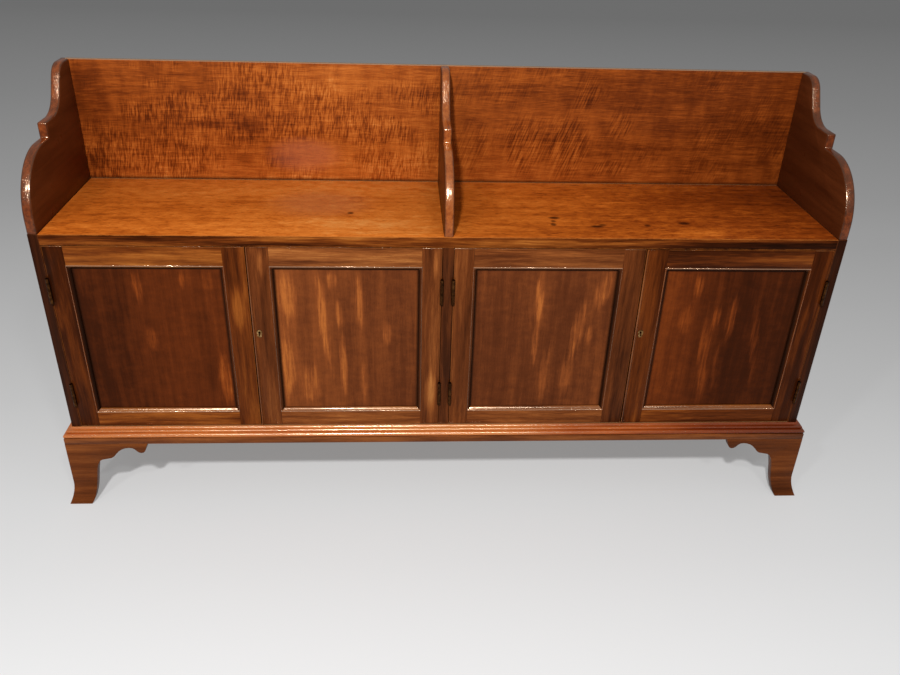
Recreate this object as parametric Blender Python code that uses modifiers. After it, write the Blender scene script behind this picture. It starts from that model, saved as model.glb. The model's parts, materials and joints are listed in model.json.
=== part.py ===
"""Long low mahogany side cabinet with four panelled doors, a scrolled shelf gallery
and a moulded base on bracket feet.

X runs across the front, Y from front to back and Z up from the floor, all in metres.
The origin is on the floor, below the middle of the cabinet.
"""

from math import asin, atan2, cos, pi, radians, sin, sqrt, tan

import bmesh
import bpy
from mathutils import Matrix, Vector

# Fitting
CLEAR = 0.0003          # gap between neighbouring pieces
OVERRUN = 0.004         # how far a cut runs past the wood
WELD = 0.000005         # points closer than this are one point

# Carcass
CARCASS_WIDTH = 1.830
CARCASS_DEPTH = 0.380
CARCASS_HEIGHT = 0.534  # base frame to top of the top board
END_THICK = 0.022
TOP_THICK = 0.0255
BOTTOM_THICK = 0.0255
DIVISION_THICK = 0.025
BACK_THICK = 0.012
SHELF_THICK = 0.016
SHELF_RISE = 0.230      # bottom board to underside of the shelf
HOUSING_DEPTH = 0.007   # housings that carry the top and bottom boards and the division
SHELF_HOUSING_DEPTH = 0.006
TONGUE_DROP = 0.006     # face of the top board above its tongues
HOUSING_STOP = 0.024    # housings stop this far behind the front edges
REBATE_WIDTH = 0.010    # rebate for the back boards in the ends
ARRIS = 0.0010          # softened edges of the boards

# Gallery
GALLERY_HEIGHT = 0.294
DIVIDER_THICK = 0.021
DIVIDER_HOUSING = 0.003 # depth of the divider's stopped housing in the top board
LOBE_RADIUS = 0.133     # height of the quarter round at the front
LEDGE_HEIGHT = 0.162    # top of the lobe
LEDGE_FLAT = 0.036      # level run between the lobe and the small upright step
TIP_HEIGHT = 0.196
TIP_FLAT = 0.045        # level run behind the step
HOLLOW_RADIUS = 0.070
SHOULDER_RADIUS = 0.048
TOP_LEVEL = 0.0413      # level run at the top, up to the wall
GALLERY_RAKE = radians(60)
GALLERY_ARRIS = 0.0035  # well worn edges of the shaped ends

# Base
FOOT_HEIGHT = 0.177
FRAME_THICK = 0.016
FRAME_RAIL_WIDTH = 0.070
BASE_PROJECTION = 0.019
MOULDING_HEIGHT = 0.0245
MOULDING_ROUND = 0.0120 # height of the lower, larger round
MOULDING_SMALL_ROUND = 0.0070
MOULDING_STEP = 0.0130  # how far the upper, smaller round stands out
MOULDING_QUIRK = 0.0005
MOULDING_TOP = 0.0020   # plain top edge between the hollow and the carcass
BRACKET_THICK = 0.020
BRACKET_LENGTH = 0.199
SIDE_BRACKET_LENGTH = 0.150
FOOT_LEG = 0.0765       # width of a foot below the bracket
FOOT_TOE = 0.040        # where the inner edge of a foot meets the floor
TOE_FLARE = 0.015
FLARE_HEIGHT = 0.060

# Doors
DOOR_THICK = 0.020
DOOR_GAP = 0.0015       # above and below a door
HINGE_GAP = 0.0012
MEETING_GAP = 0.0020
STILE_WIDTH = 0.045
MEETING_STILE_WIDTH = 0.050
TOP_RAIL_WIDTH = 0.047
BOTTOM_RAIL_WIDTH = 0.040
STICKING_WIDTH = 0.008  # moulding worked on the inner edge of the frame
STICKING_DEPTH = 0.0075
STICKING_FILLET = 0.0010
PANEL_LIP = 0.0006      # between the moulding and the panel groove
PANEL_THICK = 0.0070
PANEL_PLAY = 0.0010     # room for the panel to swell in its groove
TENON_LENGTH = 0.030
HAUNCH = 0.012
BEAD_WIDTH = 0.0050
BEAD_PROUD = 0.0025
BEAD_QUIRK = 0.0006     # fine groove beside the bead
DOOR_STOP_GAP = 0.0010  # closed door to the front edge of the shelf

# Hinges
HINGE_LENGTH = 0.062
UPPER_HINGE_DROP = 0.077  # door top to hinge top
LOWER_HINGE_RISE = 0.062  # door bottom to hinge bottom
KNUCKLE_RADIUS = 0.0040
PIN_RADIUS = 0.0018
LEAF_THICK = 0.0015
LEAF_WIDTH = 0.0175
KNUCKLE_COUNT = 5
KNUCKLE_SIDES = 16

# Locks
LOCK_RISE = 0.264       # door bottom to keyhole
LOCK_WIDTH = 0.038
LOCK_HEIGHT = 0.056
LOCK_THICK = 0.011
LOCK_FRONT = 0.003      # metal in front of the bolt
KEY_SETBACK = 0.0145
BOLT_LENGTH = 0.024
BOLT_HEIGHT = 0.012
BOLT_THICK = 0.005
BOLT_THROW = 0.008
BOLT_SINK = 0.0004      # drawn bolt, below the edge of its door
KEYHOLE_RADIUS = 0.0026
KEYHOLE_SLOT_WIDTH = 0.0026
KEYHOLE_SLOT_LENGTH = 0.0100
ESCUTCHEON_RIM = 0.0038
ESCUTCHEON_THICK = 0.0018
ESCUTCHEON_PROUD = 0.0005

# Under edge of a bracket, from the leg (0) to its tip (1), as shares of the bracket's
# free length and of the foot's height: ledge, rising ogee, arch and round drop
BRACKET_EDGE_SHARES = (
    (0.000, 0.706), (0.049, 0.729), (0.245, 0.757), (0.302, 0.786), (0.351, 0.828),
    (0.408, 0.870), (0.473, 0.903), (0.547, 0.924), (0.624, 0.931), (0.690, 0.925),
    (0.735, 0.905), (0.763, 0.882), (0.788, 0.862), (0.820, 0.847), (0.865, 0.841),
    (0.906, 0.850), (0.936, 0.872), (0.957, 0.904), (0.974, 0.949), (1.000, 0.985),
)

# Inner edge of a foot, from the floor up to the bracket: shares of the way from the toe
# to the full width, and of the height
LEG_EDGE_SHARES = (
    (0.000, 0.000), (0.080, 0.032), (0.230, 0.127), (0.340, 0.247), (0.425, 0.359),
    (0.500, 0.478), (0.570, 0.598), (0.650, 0.725), (0.770, 0.876), (0.865, 0.940),
)

# Levels and lines that several pieces share
FRONT = (BASE_PROJECTION + TOE_FLARE - CARCASS_DEPTH) / 2
REAR = FRONT + CARCASS_DEPTH
BACK_FACE = REAR - BACK_THICK
FRAME_TOP = FOOT_HEIGHT + FRAME_THICK
CARCASS_TOP = FRAME_TOP + CARCASS_HEIGHT
FLOOR_BOARD_TOP = FRAME_TOP + BOTTOM_THICK
TOP_UNDERSIDE = CARCASS_TOP - TOP_THICK
HALF_WIDTH = CARCASS_WIDTH / 2
END_FACE = HALF_WIDTH - END_THICK
HALF_DIVISION = DIVISION_THICK / 2
SHELF_UNDERSIDE = FLOOR_BOARD_TOP + SHELF_RISE
SHELF_FRONT = FRONT + DOOR_THICK + DOOR_STOP_GAP
DOOR_LOW = FLOOR_BOARD_TOP + DOOR_GAP
DOOR_HIGH = TOP_UNDERSIDE - DOOR_GAP
DOOR_WIDTH = (END_FACE - HALF_DIVISION - 2 * HINGE_GAP - MEETING_GAP) / 2
GROOVE_FRONT = STICKING_DEPTH + PANEL_LIP
GROOVE_BACK = GROOVE_FRONT + PANEL_THICK + 2 * CLEAR
AXIS_FORWARD = KNUCKLE_RADIUS + CLEAR
LOCK_LEVEL = DOOR_LOW + LOCK_RISE

CURVE_STEPS = 12
CORNER_ANGLE = radians(50)    # sharper corners than this are softened
SMOOTH_ANGLE = radians(35)    # flatter edges than this are shaded smooth
FLAT_ANGLE = radians(0.1)     # faces that meet at less than this are one face


def srgb(red, green, blue):
    """Linear colour of an 8-bit screen colour."""
    def linear(channel):
        value = channel / 255
        return value / 12.92 if value <= 0.04045 else ((value + 0.055) / 1.055) ** 2.4
    return (linear(red), linear(green), linear(blue), 1.0)


def finish(name, colour, roughness, metallic=0.0):
    """A plain finish with the given colour."""
    material = bpy.data.materials.new(name)
    material.use_nodes = True
    shader = material.node_tree.nodes["Principled BSDF"]
    shader.inputs["Base Color"].default_value = colour
    shader.inputs["Roughness"].default_value = roughness
    shader.inputs["Metallic"].default_value = metallic
    material.diffuse_color = colour
    return material


def clear_scene():
    """Remove what an opened file starts with, and make the two collections."""
    for thing in list(bpy.data.objects):
        bpy.data.objects.remove(thing, do_unlink=True)
    groups = []
    for title in ("side_cabinet", "cutters"):
        group = bpy.data.collections.new(title)
        bpy.context.scene.collection.children.link(group)
        groups.append(group)
    return groups


PIECES, CUTTERS = clear_scene()

ALONG_X = Matrix(((0, 0, 1, 0), (1, 0, 0, 0), (0, 1, 0, 0), (0, 0, 0, 1)))
ALONG_Y = Matrix.Rotation(pi / 2, 4, "X")
ALONG_Z = Matrix.Identity(4)


def add_object(name, mesh, material=None, centre=(0, 0, 0), turn=ALONG_Z):
    """Put a mesh in the scene, as a piece if it has a finish and as a cutter if not."""
    thing = bpy.data.objects.new(name, mesh)
    thing.matrix_world = Matrix.Translation(centre) @ turn
    if material is None:
        CUTTERS.objects.link(thing)
        thing.hide_render = True
        thing.display_type = "WIRE"
    else:
        PIECES.objects.link(thing)
        if not mesh.materials:
            mesh.materials.append(material)
    return thing


def box(name, low, high, material=None, edge=0.0):
    """A board or block between two corners, with softened edges if edge is given."""
    low, high = Vector(low), Vector(high)
    mesh = bpy.data.meshes.new(name)
    form = bmesh.new()
    bmesh.ops.create_cube(form, size=1.0, matrix=Matrix.Diagonal((*(high - low), 1)))
    form.to_mesh(mesh)
    form.free()
    thing = add_object(name, mesh, material, (low + high) / 2)
    if edge:
        soften(thing, edge)
    return thing


def soften(thing, width, segments=2):
    """Round the edges of a piece."""
    bevel = thing.modifiers.new("softened edges", "BEVEL")
    bevel.width = width
    bevel.segments = segments
    bevel.limit_method = "ANGLE"
    bevel.angle_limit = CORNER_ANGLE


def profile_solid(name, loops, thick, turn, centre, material=None):
    """A flat outline, with holes if it has more loops, given a thickness along one axis.

    Along Z the outline is drawn in X and Y, along Y in X and Z, along X in Y and Z.
    """
    curve = bpy.data.curves.new(name, "CURVE")
    curve.dimensions = "2D"
    curve.fill_mode = "BOTH"
    curve.extrude = thick / 2
    for loop in loops:
        spline = curve.splines.new("POLY")
        spline.points.add(len(loop) - 1)
        for point, (across, up) in zip(spline.points, loop):
            point.co = (across, up, 0, 1)
        spline.use_cyclic_u = True
    drawn = bpy.data.objects.new(name, curve)
    drawn.matrix_world = Matrix.Translation(centre) @ turn
    bpy.context.scene.collection.objects.link(drawn)
    bpy.context.view_layer.update()
    return curve_to_piece(drawn, name, material)


def curve_to_piece(drawn, name, material):
    """Turn a drawn curve into a closed mesh in the same place."""
    graph = bpy.context.evaluated_depsgraph_get()
    mesh = bpy.data.meshes.new_from_object(drawn.evaluated_get(graph))
    mesh.name = name
    form = bmesh.new()
    form.from_mesh(mesh)
    bmesh.ops.remove_doubles(form, verts=form.verts, dist=WELD)
    bmesh.ops.dissolve_limit(form, angle_limit=FLAT_ANGLE, verts=form.verts, edges=form.edges)
    bmesh.ops.recalc_face_normals(form, faces=form.faces)
    form.to_mesh(mesh)
    form.free()
    where = drawn.matrix_world.copy()
    bpy.data.objects.remove(drawn, do_unlink=True)
    return add_object(name, mesh, material, where.translation, where.to_3x3().to_4x4())


def rod(name, radius, length):
    """An upright round bar, centred on the origin."""
    mesh = bpy.data.meshes.new(name)
    form = bmesh.new()
    bmesh.ops.create_cone(form, cap_ends=True, segments=KNUCKLE_SIDES, radius1=radius,
                          radius2=radius, depth=length)
    form.to_mesh(mesh)
    form.free()
    return add_object(name, mesh)


def sided(side, low, high):
    """Two corners on the right-hand half, or mirrored to the left when side is -1."""
    xs = sorted((side * low[0], side * high[0]))
    return (xs[0], *low[1:]), (xs[1], *high[1:])


def combine(thing, tool, operation):
    """Cut or join a piece with another shape."""
    step = thing.modifiers.new(tool.name, "BOOLEAN")
    step.operation = operation
    step.solver = "EXACT"
    step.object = tool


def cut(thing, *tools):
    for tool in tools:
        combine(thing, tool, "DIFFERENCE")


def join(thing, *tools):
    for tool in tools:
        combine(thing, tool, "UNION")


def arc(centre, radius, start, end, steps=CURVE_STEPS, radius_up=None):
    """Points on a round or oval arc, from one angle to another."""
    points = []
    for step in range(steps + 1):
        angle = start + (end - start) * step / steps
        points.append((centre[0] + radius * cos(angle),
                       centre[1] + (radius_up or radius) * sin(angle)))
    return points


def anchor(name, where):
    """An empty on a joint's axis, which carries the pieces that move together."""
    empty = bpy.data.objects.new(name, None)
    empty.location = where
    empty.empty_display_size = KNUCKLE_RADIUS
    PIECES.objects.link(empty)
    return empty


def carry(empty, *pieces):
    for piece in pieces:
        piece.parent = empty
        piece.location -= empty.location


def shade_round(thing):
    thing.data.shade_smooth()
    thing.data.set_sharp_from_angle(angle=SMOOTH_ANGLE)


# Finishes
TOP_WOOD = finish("mahogany_top", srgb(178, 90, 32), 0.30)
BACK_WOOD = finish("mahogany_gallery_back", srgb(150, 76, 30), 0.38)
CARCASS_WOOD = finish("mahogany_carcass", srgb(92, 46, 26), 0.35)
DOOR_WOOD = finish("mahogany_doors", srgb(116, 62, 34), 0.35)
PANEL_WOOD = finish("mahogany_panels", srgb(96, 46, 24), 0.32)
BASE_WOOD = finish("mahogany_base", srgb(150, 74, 40), 0.30)
INSIDE_WOOD = finish("inside_wood", srgb(120, 80, 48), 0.60)
BRASS = finish("aged_brass", srgb(122, 98, 58), 0.40, 1.0)


# Carcass

def housed_board(name, low, thick, material, drop=0.0):
    """A long board between the ends, with a tongue at each end in a stopped housing.

    Drop is how far the tongues lie below the face of the board.
    """
    tongue = END_FACE + HOUSING_DEPTH - CLEAR
    board = box(name, (-tongue, FRONT, low), (tongue, BACK_FACE - CLEAR, low + thick),
                material, ARRIS)
    for side, word in ((-1, "left"), (1, "right")):
        near = (END_FACE - CLEAR, FRONT - OVERRUN, low - OVERRUN)
        far = (tongue + OVERRUN, FRONT + HOUSING_STOP, low + thick + OVERRUN)
        cut(board, box(f"{name}_{word}_shoulder", *sided(side, near, far)))
        if drop:
            near = (END_FACE - CLEAR, FRONT - OVERRUN, low + thick - drop)
            far = (tongue + OVERRUN, BACK_FACE + OVERRUN, low + thick + OVERRUN)
            cut(board, box(f"{name}_{word}_drop", *sided(side, near, far)))
    return board


def division_housing(name, low, high):
    """The slot across a long board that holds the end of the centre division."""
    return box(name, (-HALF_DIVISION - CLEAR, FRONT + HOUSING_STOP - CLEAR, low),
               (HALF_DIVISION + CLEAR, REAR, high))


def build_boards():
    bottom_low = FRAME_TOP + CLEAR
    bottom = housed_board("bottom_board", bottom_low, FLOOR_BOARD_TOP - bottom_low, INSIDE_WOOD)
    cut(bottom, division_housing("slot_in_bottom_board", FLOOR_BOARD_TOP - HOUSING_DEPTH,
                                 FLOOR_BOARD_TOP + OVERRUN))
    top = housed_board("top_board", TOP_UNDERSIDE, TOP_THICK, TOP_WOOD, TONGUE_DROP)
    half = DIVIDER_THICK / 2 + CLEAR
    cut(top, division_housing("slot_in_top_board", TOP_UNDERSIDE - OVERRUN,
                              TOP_UNDERSIDE + HOUSING_DEPTH),
        box("divider_slot", (-half, FRONT + HOUSING_STOP, CARCASS_TOP - DIVIDER_HOUSING),
            (half, REAR, CARCASS_TOP + OVERRUN)))


def end_board(name, side):
    """One end of the carcass. Side is -1 for the left and 1 for the right."""
    corners = sided(side, (END_FACE, FRONT, FRAME_TOP + CLEAR), (HALF_WIDTH, REAR, CARCASS_TOP))
    end = box(name, *corners, CARCASS_WOOD, ARRIS)
    inner = END_FACE - OVERRUN
    stop = FRONT + HOUSING_STOP - CLEAR
    housings = (
        ("bottom", HOUSING_DEPTH, stop, FRAME_TOP - OVERRUN, FLOOR_BOARD_TOP + CLEAR),
        ("shelf", SHELF_HOUSING_DEPTH, SHELF_FRONT - CLEAR, SHELF_UNDERSIDE - CLEAR,
         SHELF_UNDERSIDE + SHELF_THICK + CLEAR),
        ("top", HOUSING_DEPTH, stop, TOP_UNDERSIDE - CLEAR, CARCASS_TOP - TONGUE_DROP + CLEAR),
    )
    for part, depth, start, bottom, top in housings:
        corners = sided(side, (inner, start, bottom), (END_FACE + depth, REAR + OVERRUN, top))
        cut(end, box(f"{name}_{part}_housing", *corners))
    corners = sided(side, (inner, BACK_FACE - CLEAR, FRAME_TOP - OVERRUN),
                    (END_FACE + REBATE_WIDTH, REAR + OVERRUN, CARCASS_TOP + OVERRUN))
    cut(end, box(f"{name}_back_rebate", *corners))
    return end


def centre_division():
    """The upright between the cupboards, tongued into the top and bottom boards."""
    tongue = HOUSING_DEPTH - CLEAR
    low, high = FLOOR_BOARD_TOP - tongue, TOP_UNDERSIDE + tongue
    division = box("centre_division", (-HALF_DIVISION, FRONT, low),
                   (HALF_DIVISION, BACK_FACE - CLEAR, high), CARCASS_WOOD, ARRIS)
    reach = HALF_DIVISION + OVERRUN
    stop = FRONT + HOUSING_STOP
    for word, bottom, top in (("lower", low - OVERRUN, FLOOR_BOARD_TOP + CLEAR),
                              ("upper", TOP_UNDERSIDE - CLEAR, high + OVERRUN)):
        cut(division, box(f"division_{word}_shoulder", (-reach, FRONT - OVERRUN, bottom),
                          (reach, stop, top)))
    for side, word in ((-1, "left"), (1, "right")):
        low = (HALF_DIVISION - SHELF_HOUSING_DEPTH, SHELF_FRONT - CLEAR, SHELF_UNDERSIDE - CLEAR)
        high = (HALF_DIVISION + OVERRUN, REAR, SHELF_UNDERSIDE + SHELF_THICK + CLEAR)
        cut(division, box(f"division_{word}_shelf_housing", *sided(side, low, high)))
    return division


def shelf(name, side):
    """A fixed shelf, housed in the end and in the centre division."""
    low = (HALF_DIVISION - SHELF_HOUSING_DEPTH + CLEAR, SHELF_FRONT, SHELF_UNDERSIDE)
    high = (END_FACE + SHELF_HOUSING_DEPTH - CLEAR, BACK_FACE - CLEAR, SHELF_UNDERSIDE + SHELF_THICK)
    return box(name, *sided(side, low, high), INSIDE_WOOD, ARRIS)


def back_board(name, low, high, material):
    """A back board that lies in the rebates of the two ends."""
    half = END_FACE + REBATE_WIDTH - CLEAR
    return box(name, (-half, BACK_FACE, low), (half, REAR, high), material, ARRIS)


# Gallery

def gallery_outline(depth):
    """Outline of a shaped end: lobe, step, hollow and shoulder, set out from the wall."""
    shoulder = (CARCASS_DEPTH - TOP_LEVEL, GALLERY_HEIGHT - SHOULDER_RADIUS)
    turn_depth = shoulder[0] - SHOULDER_RADIUS * sin(GALLERY_RAKE)
    turn_height = shoulder[1] + SHOULDER_RADIUS * cos(GALLERY_RAKE)
    rise_height = TIP_HEIGHT + HOLLOW_RADIUS * (1 - cos(GALLERY_RAKE))
    rise_depth = turn_depth - (turn_height - rise_height) / tan(GALLERY_RAKE)
    hollow = (rise_depth - HOLLOW_RADIUS * sin(GALLERY_RAKE), TIP_HEIGHT + HOLLOW_RADIUS)
    step = hollow[0] - TIP_FLAT
    reach = step - LEDGE_FLAT
    foot = -2 * GALLERY_ARRIS - DIVIDER_HOUSING
    points = [(0, foot)]
    points += arc((reach, LEDGE_HEIGHT - LOBE_RADIUS), reach, pi, pi / 2, 2 * CURVE_STEPS,
                  LOBE_RADIUS)
    points += [(step, LEDGE_HEIGHT), (step, TIP_HEIGHT)]
    points += arc(hollow, HOLLOW_RADIUS, -pi / 2, GALLERY_RAKE - pi / 2)
    points += arc(shoulder, SHOULDER_RADIUS, pi / 2 + GALLERY_RAKE, pi / 2)
    points += [(depth, GALLERY_HEIGHT), (depth, foot)]
    return [(FRONT + run, CARCASS_TOP + up) for run, up in points]


def gallery_board(name, centre, thick, depth, sunk=0.0):
    """A shaped upright with worn edges, cut off square where it meets the board below.

    Behind the housing stop its foot is sunk into that board.
    """
    board = profile_solid(name, [gallery_outline(depth)], thick, ALONG_X, (centre, 0, 0),
                          CARCASS_WOOD)
    soften(board, GALLERY_ARRIS)
    half = thick / 2 + OVERRUN
    base = CARCASS_TOP + CLEAR
    low, front = base - LEDGE_HEIGHT, FRONT - OVERRUN
    cut(board, box(f"{name}_foot_cut", (centre - half, front, low),
                   (centre + half, REAR + OVERRUN, base - sunk)))
    if sunk:
        cut(board, box(f"{name}_foot_shoulder", (centre - half, front, low),
                       (centre + half, FRONT + HOUSING_STOP + CLEAR, base)))
    return board


def build_gallery():
    top = CARCASS_TOP + GALLERY_HEIGHT
    back_board("gallery_back", CARCASS_TOP + CLEAR, top, BACK_WOOD)
    gallery_board("gallery_divider", 0, DIVIDER_THICK, CARCASS_DEPTH - BACK_THICK - CLEAR,
                  DIVIDER_HOUSING)
    for side, word in ((-1, "left"), (1, "right")):
        end = gallery_board(f"gallery_end_{word}", side * (HALF_WIDTH - END_THICK / 2),
                            END_THICK, CARCASS_DEPTH)
        low = (END_FACE - OVERRUN, BACK_FACE - CLEAR, CARCASS_TOP - OVERRUN)
        high = (END_FACE + REBATE_WIDTH, REAR + OVERRUN, top + OVERRUN)
        cut(end, box(f"gallery_{word}_rebate", *sided(side, low, high)))


# Base

def base_frame():
    """Four flat rails that join the feet and carry the carcass."""
    outer = HALF_WIDTH + BASE_PROJECTION
    front = FRONT - BASE_PROJECTION
    inner, inner_front = outer - FRAME_RAIL_WIDTH, front + FRAME_RAIL_WIDTH
    inner_rear = REAR - FRAME_RAIL_WIDTH
    rim = ((-outer, front), (outer, front), (outer, REAR), (-outer, REAR))
    hole = ((-inner, inner_front), (inner, inner_front), (inner, inner_rear), (-inner, inner_rear))
    return profile_solid("base_frame", [rim, hole], FRAME_THICK, ALONG_Z,
                         (0, 0, FOOT_HEIGHT + FRAME_THICK / 2), BASE_WOOD)


def moulding_section():
    """Section of the base moulding: how far it stands out, and the height above its foot.

    A small round stands on a larger one, below a hollow.
    """
    large, small = MOULDING_ROUND / 2, MOULDING_SMALL_ROUND / 2
    small_middle = MOULDING_ROUND + MOULDING_QUIRK + small
    hollow = MOULDING_HEIGHT - small_middle - small
    points = [(CLEAR, 0)]
    points += arc((BASE_PROJECTION - large, large), large, -pi / 2, pi / 2)
    points += arc((MOULDING_STEP - small, small_middle), small, -pi / 2, pi / 2)
    points += arc((MOULDING_TOP + hollow, MOULDING_HEIGHT), hollow, -pi / 2, -pi,
                  CURVE_STEPS // 2)
    points.append((CLEAR, MOULDING_HEIGHT))
    return points


def base_moulding():
    """The moulding round the front and sides, mitred at the two front corners."""
    low = FRAME_TOP + CLEAR
    section = moulding_section()

    def station(side, mitred):
        """The section where the moulding ends or turns a corner."""
        return [(side * (HALF_WIDTH + out), FRONT - out if mitred else REAR, low + up)
                for out, up in section]

    form = bmesh.new()
    rows = [[form.verts.new(place) for place in station(side, mitred)]
            for side, mitred in ((-1, False), (-1, True), (1, True), (1, False))]
    lines = [[form.edges.new((row[i - 1], row[i])) for i in range(len(row))] for row in rows]
    for near, far in zip(lines, lines[1:]):
        bmesh.ops.bridge_loops(form, edges=near + far)
    bmesh.ops.contextual_create(form, geom=lines[0])
    bmesh.ops.contextual_create(form, geom=lines[-1])
    bmesh.ops.recalc_face_normals(form, faces=form.faces)
    mesh = bpy.data.meshes.new("base_moulding")
    form.to_mesh(mesh)
    form.free()
    return add_object("base_moulding", mesh, BASE_WOOD)


def leg_edge():
    """Inner edge of a foot from the floor up to its bracket, swept outwards to the toe."""
    top = BRACKET_EDGE_SHARES[0][1] * FOOT_HEIGHT
    return [(FOOT_TOE + run * (FOOT_LEG - FOOT_TOE), up * top) for run, up in LEG_EDGE_SHARES]


def bracket_void(length, plain):
    """The space that is sawn out below a bracket, measured inwards from the foot's corner."""
    free = length - FOOT_LEG
    shares = (BRACKET_EDGE_SHARES[0], BRACKET_EDGE_SHARES[-1]) if plain else BRACKET_EDGE_SHARES
    points = [(FOOT_TOE, -OVERRUN)] + leg_edge()
    points += [(FOOT_LEG + run * free, up * FOOT_HEIGHT) for run, up in shares]
    tip = points[-1][1]
    points += [(length + OVERRUN, tip), (length + OVERRUN, -OVERRUN)]
    return points


def bracket_foot(name, side, towards_rear):
    """Two mitred brackets that make one foot, with the toe swept outwards.

    Side is -1 on the left. Towards_rear is 1 for a front foot, whose side bracket runs
    to the rear, and -1 for a rear foot, whose plain back bracket is flush with the back.
    """
    corner_x = side * (HALF_WIDTH + BASE_PROJECTION)
    corner_y = FRONT - BASE_PROJECTION if towards_rear > 0 else REAR
    thick, run, side_run = BRACKET_THICK, BRACKET_LENGTH, SIDE_BRACKET_LENGTH
    plan = ((0, 0), (run, 0), (run, thick), (thick, thick), (thick, side_run), (0, side_run))
    outline = [(corner_x - side * across, corner_y + towards_rear * back) for across, back in plan]
    height = FOOT_HEIGHT - CLEAR
    foot = profile_solid(name, [outline], height, ALONG_Z, (0, 0, height / 2), BASE_WOOD)
    flare_toe(foot, side, towards_rear)
    across = [(corner_x - side * out, up) for out, up in bracket_void(run, towards_rear < 0)]
    along = [(corner_y + towards_rear * out, up) for out, up in bracket_void(side_run, False)]
    wide = 2 * (thick + TOE_FLARE + OVERRUN)
    cut(foot,
        profile_solid(f"{name}_front_void", [across], wide, ALONG_Y, (0, corner_y, 0)),
        profile_solid(f"{name}_side_void", [along], wide, ALONG_X, (corner_x, 0, 0)))
    shade_round(foot)
    return foot


def flare_toe(foot, side, towards_rear):
    """Sweep the foot outwards as it nears the floor."""
    form = bmesh.new()
    form.from_mesh(foot.data)
    drop = foot.location.z
    steps = CURVE_STEPS // 2
    for step in range(1, steps + 1):
        level = FLARE_HEIGHT * step / steps - drop
        everything = form.verts[:] + form.edges[:] + form.faces[:]
        bmesh.ops.bisect_plane(form, geom=everything, plane_co=(0, 0, level), plane_no=(0, 0, 1))
    for vert in form.verts:
        share = max(0.0, 1 - (vert.co.z + drop) / FLARE_HEIGHT)
        out = TOE_FLARE * share ** 2
        vert.co.x += side * out
        if towards_rear > 0:
            vert.co.y -= out
    form.to_mesh(foot.data)
    form.free()


# Doors

def member_section(width, beaded=False):
    """Section of a stile or rail: distance from its outer edge, and depth behind the face."""
    sight = width + STICKING_WIDTH
    points = [(0, 0), (width, 0)]
    if beaded:
        points = arc((BEAD_WIDTH / 2, BEAD_QUIRK), BEAD_WIDTH / 2, pi, 2 * pi, CURVE_STEPS // 2,
                     BEAD_PROUD + BEAD_QUIRK)
        points += [(BEAD_WIDTH + BEAD_QUIRK, 0), (width, 0)]
    depth = STICKING_DEPTH - STICKING_FILLET
    points += arc((width, STICKING_DEPTH), STICKING_WIDTH, -pi / 2, 0, CURVE_STEPS // 2, depth)
    points += [(sight, GROOVE_FRONT), (width, GROOVE_FRONT), (width, GROOVE_BACK),
               (sight, GROOVE_BACK), (sight, DOOR_THICK), (0, DOOR_THICK)]
    return points


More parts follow.
